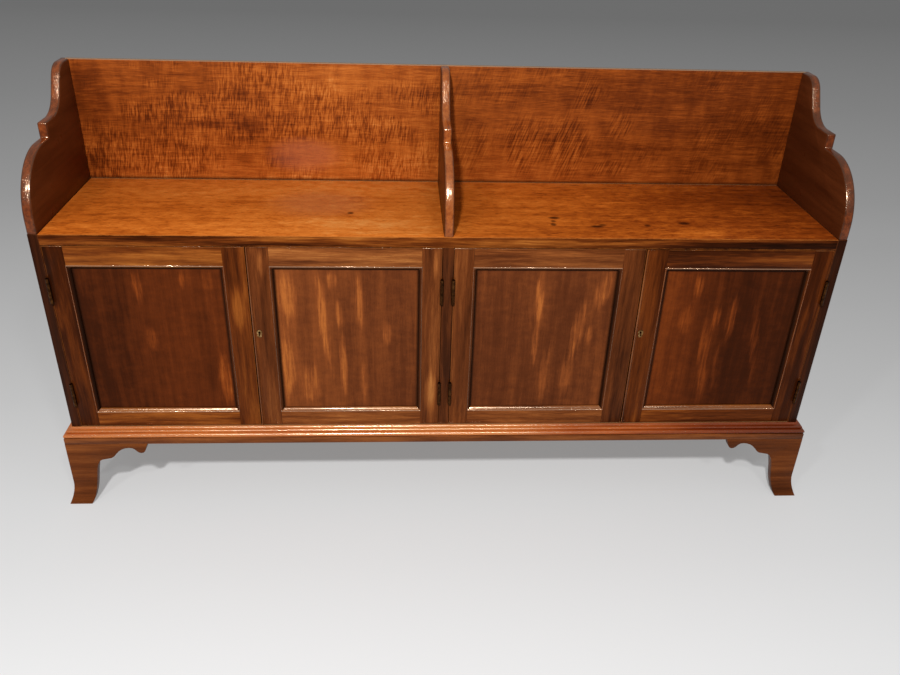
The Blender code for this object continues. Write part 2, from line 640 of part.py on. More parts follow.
class Door:
    """One framed door. Hand is 1 when it hangs on its left edge and -1 on its right."""

    def __init__(self, number, hinge_edge, hand, locked):
        self.name = f"door_{number}"
        self.edge = hinge_edge
        self.hand = hand
        self.locked = locked
        self.axis = (hinge_edge - hand * HINGE_GAP / 2, FRONT - AXIS_FORWARD, DOOR_LOW)
        self.empty = anchor(f"{self.name}_axis", self.axis)

    def x(self, across):
        """Place across the door, from the hinge edge."""
        return self.edge + self.hand * across

    def stile(self, role, width, at_hinge):
        """An upright of the frame, mortised for the rails and mitred at the moulding."""
        outer = 0 if at_hinge else DOOR_WIDTH
        inward = 1 if at_hinge else -1
        name = f"{self.name}_{role}"
        beaded = self.locked and not at_hinge

        def place(across):
            return self.x(outer + inward * across)

        outline = [(place(across), FRONT + deep) for across, deep in member_section(width, beaded)]
        stile = profile_solid(name, [outline], DOOR_HIGH - DOOR_LOW, ALONG_Z,
                              (0, 0, (DOOR_HIGH + DOOR_LOW) / 2), DOOR_WOOD)
        far = width + STICKING_WIDTH + OVERRUN
        slope = STICKING_WIDTH + OVERRUN
        middle = FRONT + DOOR_THICK / 2
        wide = DOOR_THICK + 2 * OVERRUN
        ends = (("top", DOOR_HIGH, -1, TOP_RAIL_WIDTH), ("bottom", DOOR_LOW, 1, BOTTOM_RAIL_WIDTH))
        for word, level, inwards, rail in ends:
            corner = ((place(width), level - inwards * OVERRUN), (place(width), level + inwards * rail),
                      (place(far), level + inwards * (rail + slope)),
                      (place(far), level - inwards * OVERRUN))
            cut(stile, profile_solid(f"{name}_{word}_mitre", [corner], wide, ALONG_Y,
                                     (0, middle, 0)))
            zs = sorted((level + inwards * (HAUNCH - CLEAR), level + inwards * rail))
            xs = sorted((place(width - TENON_LENGTH - CLEAR), place(width + OVERRUN)))
            cut(stile, box(f"{name}_{word}_mortise", (xs[0], FRONT + GROOVE_FRONT, zs[0]),
                           (xs[1], FRONT + GROOVE_BACK, zs[1])))
        shade_round(stile)
        carry(self.empty, stile)
        return stile

    def rail(self, role, level, inwards, width):
        """A cross member, tenoned into both stiles and mitred at the moulding."""
        name = f"{self.name}_{role}"
        near, far = STILE_WIDTH, DOOR_WIDTH - MEETING_STILE_WIDTH
        outline = [(FRONT + deep, level + inwards * up) for up, deep in member_section(width)]
        length = far - near - 2 * CLEAR
        middle = self.x((near + far) / 2)
        rail = profile_solid(name, [outline], length, ALONG_X, (middle, 0, 0), DOOR_WOOD)
        self.tenons(rail, name, level, inwards, width, near, far)
        self.rail_mitres(rail, name, level, inwards, width, near, far)
        shade_round(rail)
        carry(self.empty, rail)
        return rail

    def tenons(self, rail, name, level, inwards, width, near, far):
        zs = sorted((level + inwards * HAUNCH, level + inwards * (width - CLEAR)))
        for word, tip, root in (("hinge", near - TENON_LENGTH, near + OVERRUN),
                                ("meeting", far + TENON_LENGTH, far - OVERRUN)):
            xs = sorted((self.x(tip), self.x(root)))
            join(rail, box(f"{name}_{word}_tenon", (xs[0], FRONT + GROOVE_FRONT + CLEAR, zs[0]),
                           (xs[1], FRONT + GROOVE_BACK - CLEAR, zs[1])))

    def rail_mitres(self, rail, name, level, inwards, width, near, far):
        gap = CLEAR * sqrt(2)
        slope = STICKING_WIDTH + OVERRUN
        for word, line, inner in (("hinge", near, 1), ("meeting", far, -1)):
            corner = ((self.x(line - inner * OVERRUN), level + inwards * width),
                      (self.x(line + inner * gap), level + inwards * width),
                      (self.x(line + inner * (gap + slope)), level + inwards * (width + slope)),
                      (self.x(line - inner * OVERRUN), level + inwards * (width + slope)))
            cut(rail, profile_solid(f"{name}_{word}_mitre", [corner],
                                    DOOR_THICK + 2 * OVERRUN, ALONG_Y,
                                    (0, FRONT + DOOR_THICK / 2, 0)))

    def panel(self):
        xs = sorted((self.x(STILE_WIDTH + PANEL_PLAY),
                     self.x(DOOR_WIDTH - MEETING_STILE_WIDTH - PANEL_PLAY)))
        deep = FRONT + GROOVE_FRONT + CLEAR
        panel = box(f"{self.name}_panel",
                    (xs[0], deep, DOOR_LOW + BOTTOM_RAIL_WIDTH + PANEL_PLAY),
                    (xs[1], deep + PANEL_THICK, DOOR_HIGH - TOP_RAIL_WIDTH - PANEL_PLAY),
                    PANEL_WOOD)
        carry(self.empty, panel)

    def build(self, meshes, carrier):
        hinge_stile = self.stile("hinge_stile", STILE_WIDTH, True)
        meeting_stile = self.stile("meeting_stile", MEETING_STILE_WIDTH, False)
        self.rail("top_rail", DOOR_HIGH, -1, TOP_RAIL_WIDTH)
        self.rail("bottom_rail", DOOR_LOW, 1, BOTTOM_RAIL_WIDTH)
        self.panel()
        for word, low in (("upper", DOOR_HIGH - UPPER_HINGE_DROP - HINGE_LENGTH),
                          ("lower", DOOR_LOW + LOWER_HINGE_RISE)):
            self.hang(word, low, meshes, carrier, hinge_stile)
        if self.locked:
            self.lock(meeting_stile)
        else:
            self.bolt_mortise(meeting_stile)

    def hang(self, word, low, meshes, carrier, stile):
        """One hinge, its leaf recess in the carcass and its leaf recess in the door."""
        name = f"{self.name}_{word}_hinge"
        axis = Vector((self.axis[0], self.axis[1], low + HINGE_LENGTH / 2))
        add_object(f"{name}_fixed_leaf", meshes[self.hand, "fixed"], BRASS, axis)
        carry(self.empty, add_object(f"{name}_door_leaf", meshes[self.hand, "moving"], BRASS, axis))
        for target, towards in ((carrier, -self.hand), (stile, self.hand)):
            shallow = axis.x + towards * (HINGE_GAP / 2 - OVERRUN)
            deep = axis.x + towards * (HINGE_GAP / 2 + LEAF_THICK + CLEAR)
            xs = sorted((shallow, deep))
            cut(target, box(f"{name}_recess_in_{target.name}",
                            (xs[0], FRONT - OVERRUN, low - CLEAR),
                            (xs[1], FRONT + LEAF_WIDTH + CLEAR, low + HINGE_LENGTH + CLEAR)))

    def lock(self, stile):
        """A cut lock let in flush with the back and edge of the stile, and its escutcheon."""
        edge = self.x(DOOR_WIDTH)
        out = self.hand
        case_front = FRONT + DOOR_THICK - LOCK_THICK
        back = FRONT + DOOR_THICK

        def block(name, near, far, front, rear, half_height, material=None, soft=0.0):
            xs = sorted((edge - out * near, edge - out * far))
            return box(name, (xs[0], front, LOCK_LEVEL - half_height),
                       (xs[1], rear, LOCK_LEVEL + half_height), material, soft)

        half = LOCK_HEIGHT / 2
        cut(stile, block(f"{self.name}_lock_recess", -OVERRUN, LOCK_WIDTH + CLEAR,
                         case_front - CLEAR, back + OVERRUN, half + CLEAR))
        case = block(f"{self.name}_lock_case", 0, LOCK_WIDTH, case_front, back, half, BRASS, CLEAR)
        bolt_front = case_front + LOCK_FRONT
        bolt_back = bolt_front + BOLT_THICK
        bolt_half = BOLT_HEIGHT / 2
        cut(case, block(f"{self.name}_bolt_way", -OVERRUN, BOLT_SINK + BOLT_LENGTH + CLEAR,
                        bolt_front - CLEAR, bolt_back + CLEAR, bolt_half + CLEAR))
        bolt = block(f"{self.name}_lock_bolt", BOLT_SINK, BOLT_SINK + BOLT_LENGTH,
                     bolt_front, bolt_back, bolt_half, BRASS, CLEAR)
        key_x = edge - out * KEY_SETBACK
        keyhole = keyhole_outline(key_x, LOCK_LEVEL, 0)
        wide = LOCK_FRONT + 2 * CLEAR
        cut(case, profile_solid(f"{self.name}_case_keyhole", [keyhole], wide, ALONG_Y,
                                (0, case_front - CLEAR + wide / 2, 0)))
        through = DOOR_THICK - LOCK_THICK + 2 * OVERRUN
        cut(stile, profile_solid(f"{self.name}_stile_keyhole", [keyhole], through, ALONG_Y,
                                 (0, FRONT - OVERRUN + through / 2, 0)))
        seat = keyhole_outline(key_x, LOCK_LEVEL, ESCUTCHEON_RIM + CLEAR)
        deep = ESCUTCHEON_THICK - ESCUTCHEON_PROUD + CLEAR + OVERRUN
        cut(stile, profile_solid(f"{self.name}_escutcheon_seat", [seat], deep, ALONG_Y,
                                 (0, FRONT - OVERRUN + deep / 2, 0)))
        rim = keyhole_outline(key_x, LOCK_LEVEL, ESCUTCHEON_RIM)
        plate = profile_solid(f"{self.name}_escutcheon", [rim, keyhole], ESCUTCHEON_THICK, ALONG_Y,
                              (0, FRONT - ESCUTCHEON_PROUD + ESCUTCHEON_THICK / 2, 0), BRASS)
        carry(self.empty, case, bolt, plate)

    def bolt_mortise(self, stile):
        """The slot in this door's edge that the other door's bolt enters."""
        edge = self.x(DOOR_WIDTH)
        front = FRONT + DOOR_THICK - LOCK_THICK + LOCK_FRONT
        xs = sorted((edge + self.hand * OVERRUN, edge - self.hand * BOLT_THROW))
        half = BOLT_HEIGHT / 2 + 2 * CLEAR
        cut(stile, box(f"{self.name}_bolt_mortise", (xs[0], front - 2 * CLEAR, LOCK_LEVEL - half),
                       (xs[1], front + BOLT_THICK + 2 * CLEAR, LOCK_LEVEL + half)))


def keyhole_outline(across, level, rim):
    """A round hole with a slot below it, grown outwards by the width of a rim."""
    radius = KEYHOLE_RADIUS + rim
    half_slot = KEYHOLE_SLOT_WIDTH / 2 + rim
    half_mouth = asin(half_slot / radius)
    foot = KEYHOLE_SLOT_LENGTH - KEYHOLE_SLOT_WIDTH / 2
    points = arc((across, level), radius, half_mouth - pi / 2, 3 * pi / 2 - half_mouth)
    points += arc((across, level - foot), half_slot, pi, 2 * pi, CURVE_STEPS // 2)
    return points


# Hinges

def leaf_section(towards):
    """Section of a leaf and its knuckle about the pin. Towards is the leaf's side in X."""
    near, far = HINGE_GAP / 2, HINGE_GAP / 2 + LEAF_THICK
    start = atan2(sqrt(KNUCKLE_RADIUS ** 2 - near ** 2), near)
    end = 2 * pi + atan2(sqrt(KNUCKLE_RADIUS ** 2 - far ** 2), far)
    rear = AXIS_FORWARD + LEAF_WIDTH
    points = [(near, rear)] + arc((0, 0), KNUCKLE_RADIUS, start, end, KNUCKLE_SIDES) + [(far, rear)]
    return [(towards * across, deep) for across, deep in points]


def hinge_leaf(hand, kind):
    """Mesh of one leaf: the fixed leaf holds the pin, the other turns on it."""
    towards = -hand if kind == "fixed" else hand
    name = f"{kind}_leaf_{'left' if hand > 0 else 'right'}"
    leaf = profile_solid(name, [leaf_section(towards)], HINGE_LENGTH, ALONG_Z, (0, 0, 0), BRASS)
    pitch = HINGE_LENGTH / KNUCKLE_COUNT
    base = -HINGE_LENGTH / 2
    reach = KNUCKLE_RADIUS + OVERRUN
    first = 1 if kind == "fixed" else 0
    tools = []
    for index in range(first, KNUCKLE_COUNT, 2):
        low = base + index * pitch - CLEAR / 2
        high = base + (index + 1) * pitch + CLEAR / 2
        if index == 0:
            low -= OVERRUN
        if index == KNUCKLE_COUNT - 1:
            high += OVERRUN
        tools.append(box(f"{name}_notch_{index}", (-reach, -reach, low), (reach, AXIS_FORWARD, high)))
    if kind == "fixed":
        pin = rod(f"{name}_pin", PIN_RADIUS, HINGE_LENGTH - 2 * CLEAR)
        cut(leaf, *tools)
        join(leaf, pin)
        tools.append(pin)
    else:
        tools.append(rod(f"{name}_bore", PIN_RADIUS + CLEAR, HINGE_LENGTH + 2 * OVERRUN))
        cut(leaf, *tools)
    graph = bpy.context.evaluated_depsgraph_get()
    mesh = bpy.data.meshes.new_from_object(leaf.evaluated_get(graph))
    mesh.name = name
    for thing in [leaf] + tools:
        bpy.data.objects.remove(thing, do_unlink=True)
    mesh.shade_smooth()
    mesh.set_sharp_from_angle(angle=SMOOTH_ANGLE)
    return mesh


def build():
    build_boards()
    ends = {side: end_board(f"end_{word}", side) for side, word in ((-1, "left"), (1, "right"))}
    division = centre_division()
    shelf("shelf_left", -1)
    shelf("shelf_right", 1)
    back_board("carcass_back", FRAME_TOP + CLEAR, CARCASS_TOP, INSIDE_WOOD)
    build_gallery()
    base_frame()
    base_moulding()
    for side, word in ((-1, "left"), (1, "right")):
        bracket_foot(f"foot_front_{word}", side, 1)
        bracket_foot(f"foot_rear_{word}", side, -1)
    meshes = {(hand, kind): hinge_leaf(hand, kind)
              for hand in (1, -1) for kind in ("fixed", "moving")}
    end_edge = END_FACE - HINGE_GAP
    division_edge = HALF_DIVISION + HINGE_GAP
    places = ((-end_edge, 1, False, ends[-1]), (-division_edge, -1, True, division),
              (division_edge, 1, False, division), (end_edge, -1, True, ends[1]))
    for number, (edge, hand, locked, carrier) in enumerate(places, 1):
        Door(number, edge, hand, locked).build(meshes, carrier)


build()
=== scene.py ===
"""Finish and surroundings of a long low mahogany side cabinet with four panelled doors,
a scrolled shelf gallery and bracket feet.

X runs across the front, Y from front to back and Z up from the floor, all in metres.
"""

import json
from math import pi, radians

import bmesh
import bpy
from mathutils import Matrix, Vector


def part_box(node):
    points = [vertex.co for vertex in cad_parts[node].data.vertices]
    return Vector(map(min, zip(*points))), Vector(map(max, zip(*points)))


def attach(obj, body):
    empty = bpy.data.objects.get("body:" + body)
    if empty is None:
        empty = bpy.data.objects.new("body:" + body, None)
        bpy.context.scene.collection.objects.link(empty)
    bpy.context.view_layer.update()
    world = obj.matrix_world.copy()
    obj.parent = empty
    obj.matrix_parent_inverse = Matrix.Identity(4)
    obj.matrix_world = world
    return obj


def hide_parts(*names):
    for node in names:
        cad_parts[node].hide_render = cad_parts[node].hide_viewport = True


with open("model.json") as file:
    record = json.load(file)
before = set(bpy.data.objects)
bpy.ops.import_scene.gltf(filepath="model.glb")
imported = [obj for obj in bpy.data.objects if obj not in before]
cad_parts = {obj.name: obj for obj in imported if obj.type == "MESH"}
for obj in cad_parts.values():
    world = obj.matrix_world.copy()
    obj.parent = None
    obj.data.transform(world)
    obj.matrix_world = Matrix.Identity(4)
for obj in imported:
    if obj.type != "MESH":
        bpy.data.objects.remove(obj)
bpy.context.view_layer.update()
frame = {"nodes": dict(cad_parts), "record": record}
BODY_OF = {node: body for body, members in frame["record"]["behaviour"]["bodies"].items()
           for node in members}

# Camera: the photograph was taken from just left of the middle, at standing height
EYE = (-0.108954, -1.908872, 1.465262)
EYE_PITCH = radians(29.7702543)
EYE_YAW = radians(-3.91158979)
EYE_ROLL = radians(1.93474912)
PICTURE_WIDTH = 900
FOCAL_PIXELS = 842.877
FILM_WIDTH = 36.0

# Lamps: a row of three in front of the cabinet and above it, and even light all round
LAMP_LINE = -2.95
LAMP_HEIGHT = 3.4
LAMPS = (("main_lamp", -0.62, 0.22, 132.0), ("right_lamp", 0.70, 0.30, 20.0),
         ("left_lamp", -2.0, 0.30, 22.0))
LAMP_AIM = Vector((-0.2, 0.0, 0.55))
ROOM_LIGHT = 0.20

# Floor: greys of the paper sweep, from in front of the cabinet to far behind it, and the
# part of its brightness that shadows leave
FLOOR_REACH = 14.0
FLOOR_GREYS = ((-0.75, 237), (-0.43, 229), (-0.19, 225), (0.27, 211), (0.93, 200), (2.0, 183),
               (3.9, 169), (7.5, 149))
FLOOR_GLOW = 0.34

# Main levels of the cabinet, in the frame of the model
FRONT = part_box("end_left")[0].y
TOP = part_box("top_board")[1].z
GALLERY_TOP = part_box("gallery_back")[1].z

# Y of the faces that patches and streaks lie on: gallery back, stiles and panels
GALLERY_FACE, STILE_FACE, PANEL_FACE = 0.195, -0.173, -0.165


def linear(channel):
    """Linear value of an 8-bit screen value."""
    value = channel / 255
    return value / 12.92 if value <= 0.04045 else ((value + 0.055) / 1.055) ** 2.4


def tone(red, green, blue):
    return (linear(red), linear(green), linear(blue), 1.0)


def set_camera():
    """The camera of the photograph: its rows are its right, down and forward directions."""
    upright = Matrix(((1, 0, 0), (0, 0, -1), (0, 1, 0)))
    turned = (Matrix.Rotation(EYE_ROLL, 3, "Z") @ Matrix.Rotation(EYE_PITCH, 3, "X")
              @ Matrix.Rotation(EYE_YAW, 3, "Y") @ upright)
    data = bpy.data.cameras.new("camera")
    data.sensor_width = FILM_WIDTH
    data.lens = FOCAL_PIXELS * FILM_WIDTH / PICTURE_WIDTH
    camera = bpy.data.objects.new("camera", data)
    axes = (Matrix.Diagonal((1, -1, -1)) @ turned).transposed()
    camera.matrix_world = Matrix.Translation(EYE) @ axes.to_4x4()
    bpy.context.scene.collection.objects.link(camera)
    bpy.context.scene.camera = camera


def set_lamps():
    for name, across, width, power in LAMPS:
        data = bpy.data.lights.new(name, "AREA")
        data.shape = "DISK"
        data.size = width
        data.energy = power
        lamp = bpy.data.objects.new(name, data)
        lamp.location = (across, LAMP_LINE, LAMP_HEIGHT)
        aim = LAMP_AIM - lamp.location
        lamp.rotation_euler = aim.to_track_quat("-Z", "Y").to_euler()
        bpy.context.scene.collection.objects.link(lamp)
    world = bpy.data.worlds.new("room")
    world.use_nodes = True
    world.node_tree.nodes["Background"].inputs["Color"].default_value = (1, 1, 1, 1)
    world.node_tree.nodes["Background"].inputs["Strength"].default_value = ROOM_LIGHT
    bpy.context.scene.world = world
    bpy.context.scene.view_settings.view_transform = "Standard"


# Shader toolkit

class Recipe:
    """A finish that is built up node by node."""

    def __init__(self, name):
        self.material = bpy.data.materials.new(name)
        self.material.use_nodes = True
        self.tree = self.material.node_tree
        self.shader = self.tree.nodes["Principled BSDF"]

    def add(self, kind, sockets=None, **settings):
        """A node with its settings, and with values or links on its sockets."""
        node = self.tree.nodes.new("ShaderNode" + kind)
        for key, value in settings.items():
            setattr(node, key, value)
        for key, value in (sockets or {}).items():
            self.feed(node.inputs[key], value)
        return node

    def feed(self, socket, value):
        if isinstance(value, bpy.types.NodeSocket):
            self.tree.links.new(value, socket)
        else:
            socket.default_value = value

    def math(self, operation, first, second=0.0, third=0.0):
        node = self.add("Math", {0: first, 1: second, 2: third}, operation=operation)
        return node.outputs[0]

    def vector(self, operation, first, second=(0, 0, 0)):
        node = self.add("VectorMath", {0: first, 1: second}, operation=operation)
        return node.outputs[0]

    def mix(self, share, first, second, blend="MIX"):
        node = self.add("Mix", {0: share, 6: first, 7: second}, data_type="RGBA", blend_type=blend)
        return node.outputs[2]

    def place(self, vector, move=(0, 0, 0), turn=(0, 0, 0), stretch=(1, 1, 1), kind="POINT"):
        node = self.add("Mapping", {"Vector": vector, "Location": move, "Rotation": turn,
                                    "Scale": stretch}, vector_type=kind)
        return node.outputs[0]

    def cloud(self, vector, stretch, detail=2.0, rough=0.5, move=(0, 0, 0)):
        """Soft noise: stretch is how often it changes in a metre, along each axis."""
        node = self.add("TexNoise", {"Vector": self.place(vector, move, stretch=stretch),
                                     "Scale": 1.0, "Detail": detail, "Roughness": rough})
        return node.outputs[0]

    def spread(self, value, low, high, to_low=0.0, to_high=1.0, soft=False):
        """The value between low and high, taken to between to_low and to_high."""
        node = self.add("MapRange", {0: value, 1: low, 2: high, 3: to_low, 4: to_high},
                        interpolation_type="SMOOTHSTEP" if soft else "LINEAR")
        return node.outputs[0]

    def ramp(self, value, stops):
        node = self.add("ValToRGB", {0: value})
        marks = node.color_ramp.elements
        while len(marks) < len(stops):
            marks.new(0.5)
        for mark, (place, colour) in zip(marks, stops):
            mark.position = place
            mark.color = colour
        return node.outputs[0]

    def along_front(self, x, stops):
        """A number that changes across the front, from pairs of X and number."""
        low, high = stops[0][0], stops[-1][0]
        share = self.spread(x, low, high)
        greys = [((place - low) / (high - low), (0.5 + number,) * 3 + (1.0,))
                 for place, number in stops]
        return self.math("SUBTRACT", self.ramp(share, greys), 0.5)

    def bump(self, height, distance, strength=1.0, under=None):
        sockets = {"Height": height, "Distance": distance, "Strength": strength}
        if under is not None:
            sockets["Normal"] = under
        return self.add("Bump", sockets).outputs[0]

    def gloss(self, **values):
        """Plain values, set on the shader's own sockets."""
        for key, value in values.items():
            self.shader.inputs[key.replace("_", " ")].default_value = value


# Mahogany

# Tints of the shine: old wax is warm, and the polish of the base moulding is paler
WARM_SHEEN = (1.0, 0.72, 0.50, 1.0)
PALE_SHEEN = (1.0, 0.80, 0.56, 1.0)
GLOSSY = 0.9             # a level of shine above this counts as glossy
CALM, WAVY = 0.12, 0.25  # how uneven a glossy surface is, and a waxed one
UPRIGHT_Z = 0.08         # height of the normal of a surface that counts as upright
LEANING_Z = 0.45         # and of one that leans up enough for its full shine

# Turns that lay the grain along each axis
LAY_GRAIN = {"X": (0, 0, 0), "Y": (0, 0, -pi / 2), "Z": (0, pi / 2, 0)}

# Tones of the woods, dark to light
TONES = {
    "top": ((84, 30, 6), (138, 60, 14), (190, 96, 27), (220, 124, 46), (240, 166, 88)),
    "back": ((62, 22, 6), (110, 47, 13), (152, 73, 23), (186, 100, 37), (218, 138, 68)),
    "frame": ((28, 9, 3), (62, 27, 9), (104, 52, 22), (146, 82, 38), (198, 128, 66)),
    "panel": ((28, 9, 3), (62, 26, 10), (98, 48, 22), (138, 72, 33), (182, 103, 46)),
    "deep_frame": ((26, 7, 1), (60, 23, 5), (104, 48, 14), (148, 80, 28), (200, 126, 56)),
    "deep_panel": ((26, 7, 1), (60, 22, 4), (96, 41, 12), (134, 62, 20), (180, 100, 40)),
    "base": ((64, 17, 3), (122, 44, 9), (176, 84, 30), (210, 120, 54), (238, 164, 92)),
    "end": ((22, 8, 3), (44, 17, 6), (70, 31, 12), (104, 52, 24), (150, 88, 48)),
    "edge": ((44, 15, 4), (86, 34, 10), (128, 58, 20), (166, 86, 34), (208, 132, 68)),
    "inside": ((58, 36, 20), (94, 62, 38), (126, 86, 54), (152, 108, 70), (180, 134, 92)),
}
TONE_PLACES = (0.0, 0.28, 0.5, 0.72, 1.0)


class Wood(Recipe):
    """Polished mahogany with the grain along one axis, built up in layers."""

    def __init__(self, name, along, seed, lift=0.0):
        super().__init__(name)
        self.spot = self.add("TexCoord").outputs["Object"]
        self.x, self.y, self.z = self.add("SeparateXYZ", {0: self.spot}).outputs
        shift = (0.37 * seed, 0.19 * seed + 0.11, 0.23 * seed + 0.17)
        wander = self.add("TexNoise", {"Vector": self.spot, "Scale": 4.0, "Detail": 2.0}).outputs[1]
        wander = self.vector("SUBTRACT", wander, (0.5, 0.5, 0.5))
        self.bent = self.vector("ADD", self.spot, self.place(wander, stretch=(0.012,) * 3))
        self.laid = self.place(self.bent, shift, LAY_GRAIN[along])
        self.feather = self.cloud(self.laid, (9.0, 140.0, 140.0), 3.0, 0.6)
        self.value = 0.5 + lift

    def raise_by(self, part, amount, middle=0.5):
        """Make the wood lighter where a part is above its middle, and darker below."""
        part = self.math("SUBTRACT", part, middle)
        self.value = self.math("MULTIPLY_ADD", part, amount, self.value)

    def figure(self, clouds=0.30, flames=0.16, streaks=0.30, fibres=0.20, fine=125.0):
        """Broad clouds, flames, fine streaks and fibres, all along the grain."""
        self.raise_by(self.cloud(self.laid, (1.5, 8.0, 8.0), 3.0, 0.55), 2 * clouds)
        bands = self.cloud(self.laid, (2.6, 42.0, 42.0), 2.0, 0.5, (1.7, 0.4, 0.9))
        self.raise_by(self.spread(bands, 0.38, 0.62, soft=True), flames)
        self.raise_by(self.cloud(self.laid, (fine / 18, fine, fine), 4.0, 0.60), 2 * streaks)
        self.raise_by(self.cloud(self.laid, (30.0, 640.0, 640.0), 2.0, 0.5), 2 * fibres)

    def fade(self, where, size, turn=(0, 0, 0), ragged=0.9):
        """A soft patch about a place: 1 in the middle, feathered out along the grain."""
        turn = tuple(radians(angle) for angle in turn)
        local = self.place(self.bent, where, turn, size, "TEXTURE")
        reach = self.add("VectorMath", {0: local}, operation="LENGTH").outputs["Value"]
        if ragged:
            rough = self.math("SUBTRACT", self.feather, 0.5)
            reach = self.math("MULTIPLY_ADD", rough, ragged, reach)
        return self.spread(reach, 0.35, 1.05, 1.0, 0.0, soft=True)

    def mark(self, marks, ragged=0.9):
        """Lighter or darker patches: place, half sizes, turn in degrees and strength."""
        for where, size, turn, strength in marks:
            patch = self.fade(where, size, turn, ragged)
            self.value = self.math("MULTIPLY_ADD", patch, strength, self.value)

    def grade(self, stops):
        """Make the wood lighter or darker from the left of the cabinet to the right, partly its own tone
        and, on the top, gallery back and base, partly painted light that falls off to the right.
        """
        self.value = self.math("ADD", self.value, self.along_front(self.x, stops))

    def paint(self, tones, value=None):
        stops = [(place, tone(*rgb)) for place, rgb in zip(TONE_PLACES, TONES[tones])]
        return self.ramp(self.value if value is None else value, stops)

    def pores(self):
        """Short dark pores along the grain."""
        lines = self.cloud(self.laid, (110.0, 1500.0, 1500.0), 1.0)
        return self.spread(lines, 0.60, 0.70, soft=True)

    def edge_depth(self, box):
        """Distance from the nearest edge of a board that fills a box."""
        low, high = Vector(box[0]), Vector(box[1])
        middle, half = (low + high) / 2, (high - low) / 2
        away = self.vector("ABSOLUTE", self.vector("SUBTRACT", self.spot, tuple(middle)))
        parts = self.add("SeparateXYZ", {0: self.vector("SUBTRACT", tuple(half), away)}).outputs
        near = self.math("MINIMUM", parts[0], parts[1])
        far = self.math("MAXIMUM", parts[0], parts[1])
        return self.math("MAXIMUM", near, self.math("MINIMUM", far, parts[2]))

    def worn(self, colour, box, light, dark, rubbed=0.4, dirty=0.4):
        """Rubbed, lighter arrises and dirt beside them, on a board that fills a box."""
        depth = self.edge_depth(box)
        ragged = self.cloud(self.spot, (60.0, 60.0, 60.0), 4.0, 0.6)
        reach = self.spread(ragged, 0.3, 0.7, 0.0006, 0.0026)
        rub = self.spread(self.math("DIVIDE", depth, reach), 0.5, 1.0, rubbed, 0.0, soft=True)
        dirt = self.spread(depth, 0.001, 0.006, 1.0, 0.0, soft=True)
        dirt = self.math("MULTIPLY", dirt, self.spread(ragged, 0.35, 0.65, 0.1, dirty))
        return self.mix(rub, self.mix(dirt, colour, tone(*dark)), tone(*light))

    def shine_up(self, dull, bright):
        """How strong the shine is: bright where a surface leans up, dull where it is upright."""
        up = self.add("SeparateXYZ", {0: self.add("TexCoord").outputs["Normal"]}).outputs[2]
        return self.spread(up, UPRIGHT_Z, LEANING_Z, dull, bright, soft=True)

    def polish(self, colour, gloss=0.32, level=0.12, coat=0.0, waves=WAVY, depth=1.5,
               sheen=WARM_SHEEN):
        """Old wax polish: smeary gloss, open pores and a slightly uneven surface.

        The level (a number or a link), the depth (the index of refraction) and the sheen (a
        tint) say how strong and how warm its shine is.
        """
        pores = self.pores()
        colour = self.mix(self.math("MULTIPLY", pores, 0.30), colour, tone(34, 14, 6))
        self.feed(self.shader.inputs["Base Color"], colour)
        smear = self.cloud(self.spot, (9.0, 9.0, 9.0), 4.0, 0.6)
        rough = self.spread(smear, 0.3, 0.7, gloss - 0.06, gloss + 0.07)
        rough = self.math("MULTIPLY_ADD", pores, 0.12, rough)
        self.feed(self.shader.inputs["Roughness"], rough)
        normal = self.bump(self.cloud(self.spot, (26.0, 26.0, 26.0), 2.0), 0.0010, waves)
        normal = self.bump(self.math("MULTIPLY", pores, -1.0), 0.00010, 0.5, normal)
        self.feed(self.shader.inputs["Normal"], normal)
        self.feed(self.shader.inputs["Specular IOR Level"], level)
        self.gloss(Specular_Tint=sheen, IOR=depth, Coat_Weight=coat, Coat_Roughness=0.20,
                   Coat_IOR=1.6)
        return self.material


# Tones of the brass, dark to light: browned all over, and rubbed bright
BROWNED = ((32, 17, 7), (60, 34, 15), (106, 68, 34))
RUBBED = ((46, 28, 12), (120, 86, 48), (216, 180, 124))


def aged_brass(name, tones, gloss, seed=0.0):
    """Brass that has browned, rubbed bright in places."""
    recipe = Recipe(name)
    spot = recipe.place(recipe.add("TexCoord").outputs["Object"], (seed, seed, seed))
    patina = recipe.cloud(spot, (110.0, 110.0, 110.0), 5.0, 0.65)
    specks = recipe.cloud(spot, (900.0, 900.0, 900.0), 2.0)
    value = recipe.math("MULTIPLY_ADD", recipe.math("SUBTRACT", specks, 0.5), 0.4, patina)
    stops = [(place, tone(*rgb)) for place, rgb in zip((0.28, 0.5, 0.76), tones)]
    recipe.feed(recipe.shader.inputs["Base Color"], recipe.ramp(value, stops))
    rough = recipe.spread(patina, 0.3, 0.7, gloss + 0.1, gloss - 0.08)
    recipe.feed(recipe.shader.inputs["Roughness"], rough)
    recipe.feed(recipe.shader.inputs["Normal"], recipe.bump(specks, 0.00006, 0.5))
    recipe.gloss(Metallic=1.0)
    return recipe.material


# Surroundings

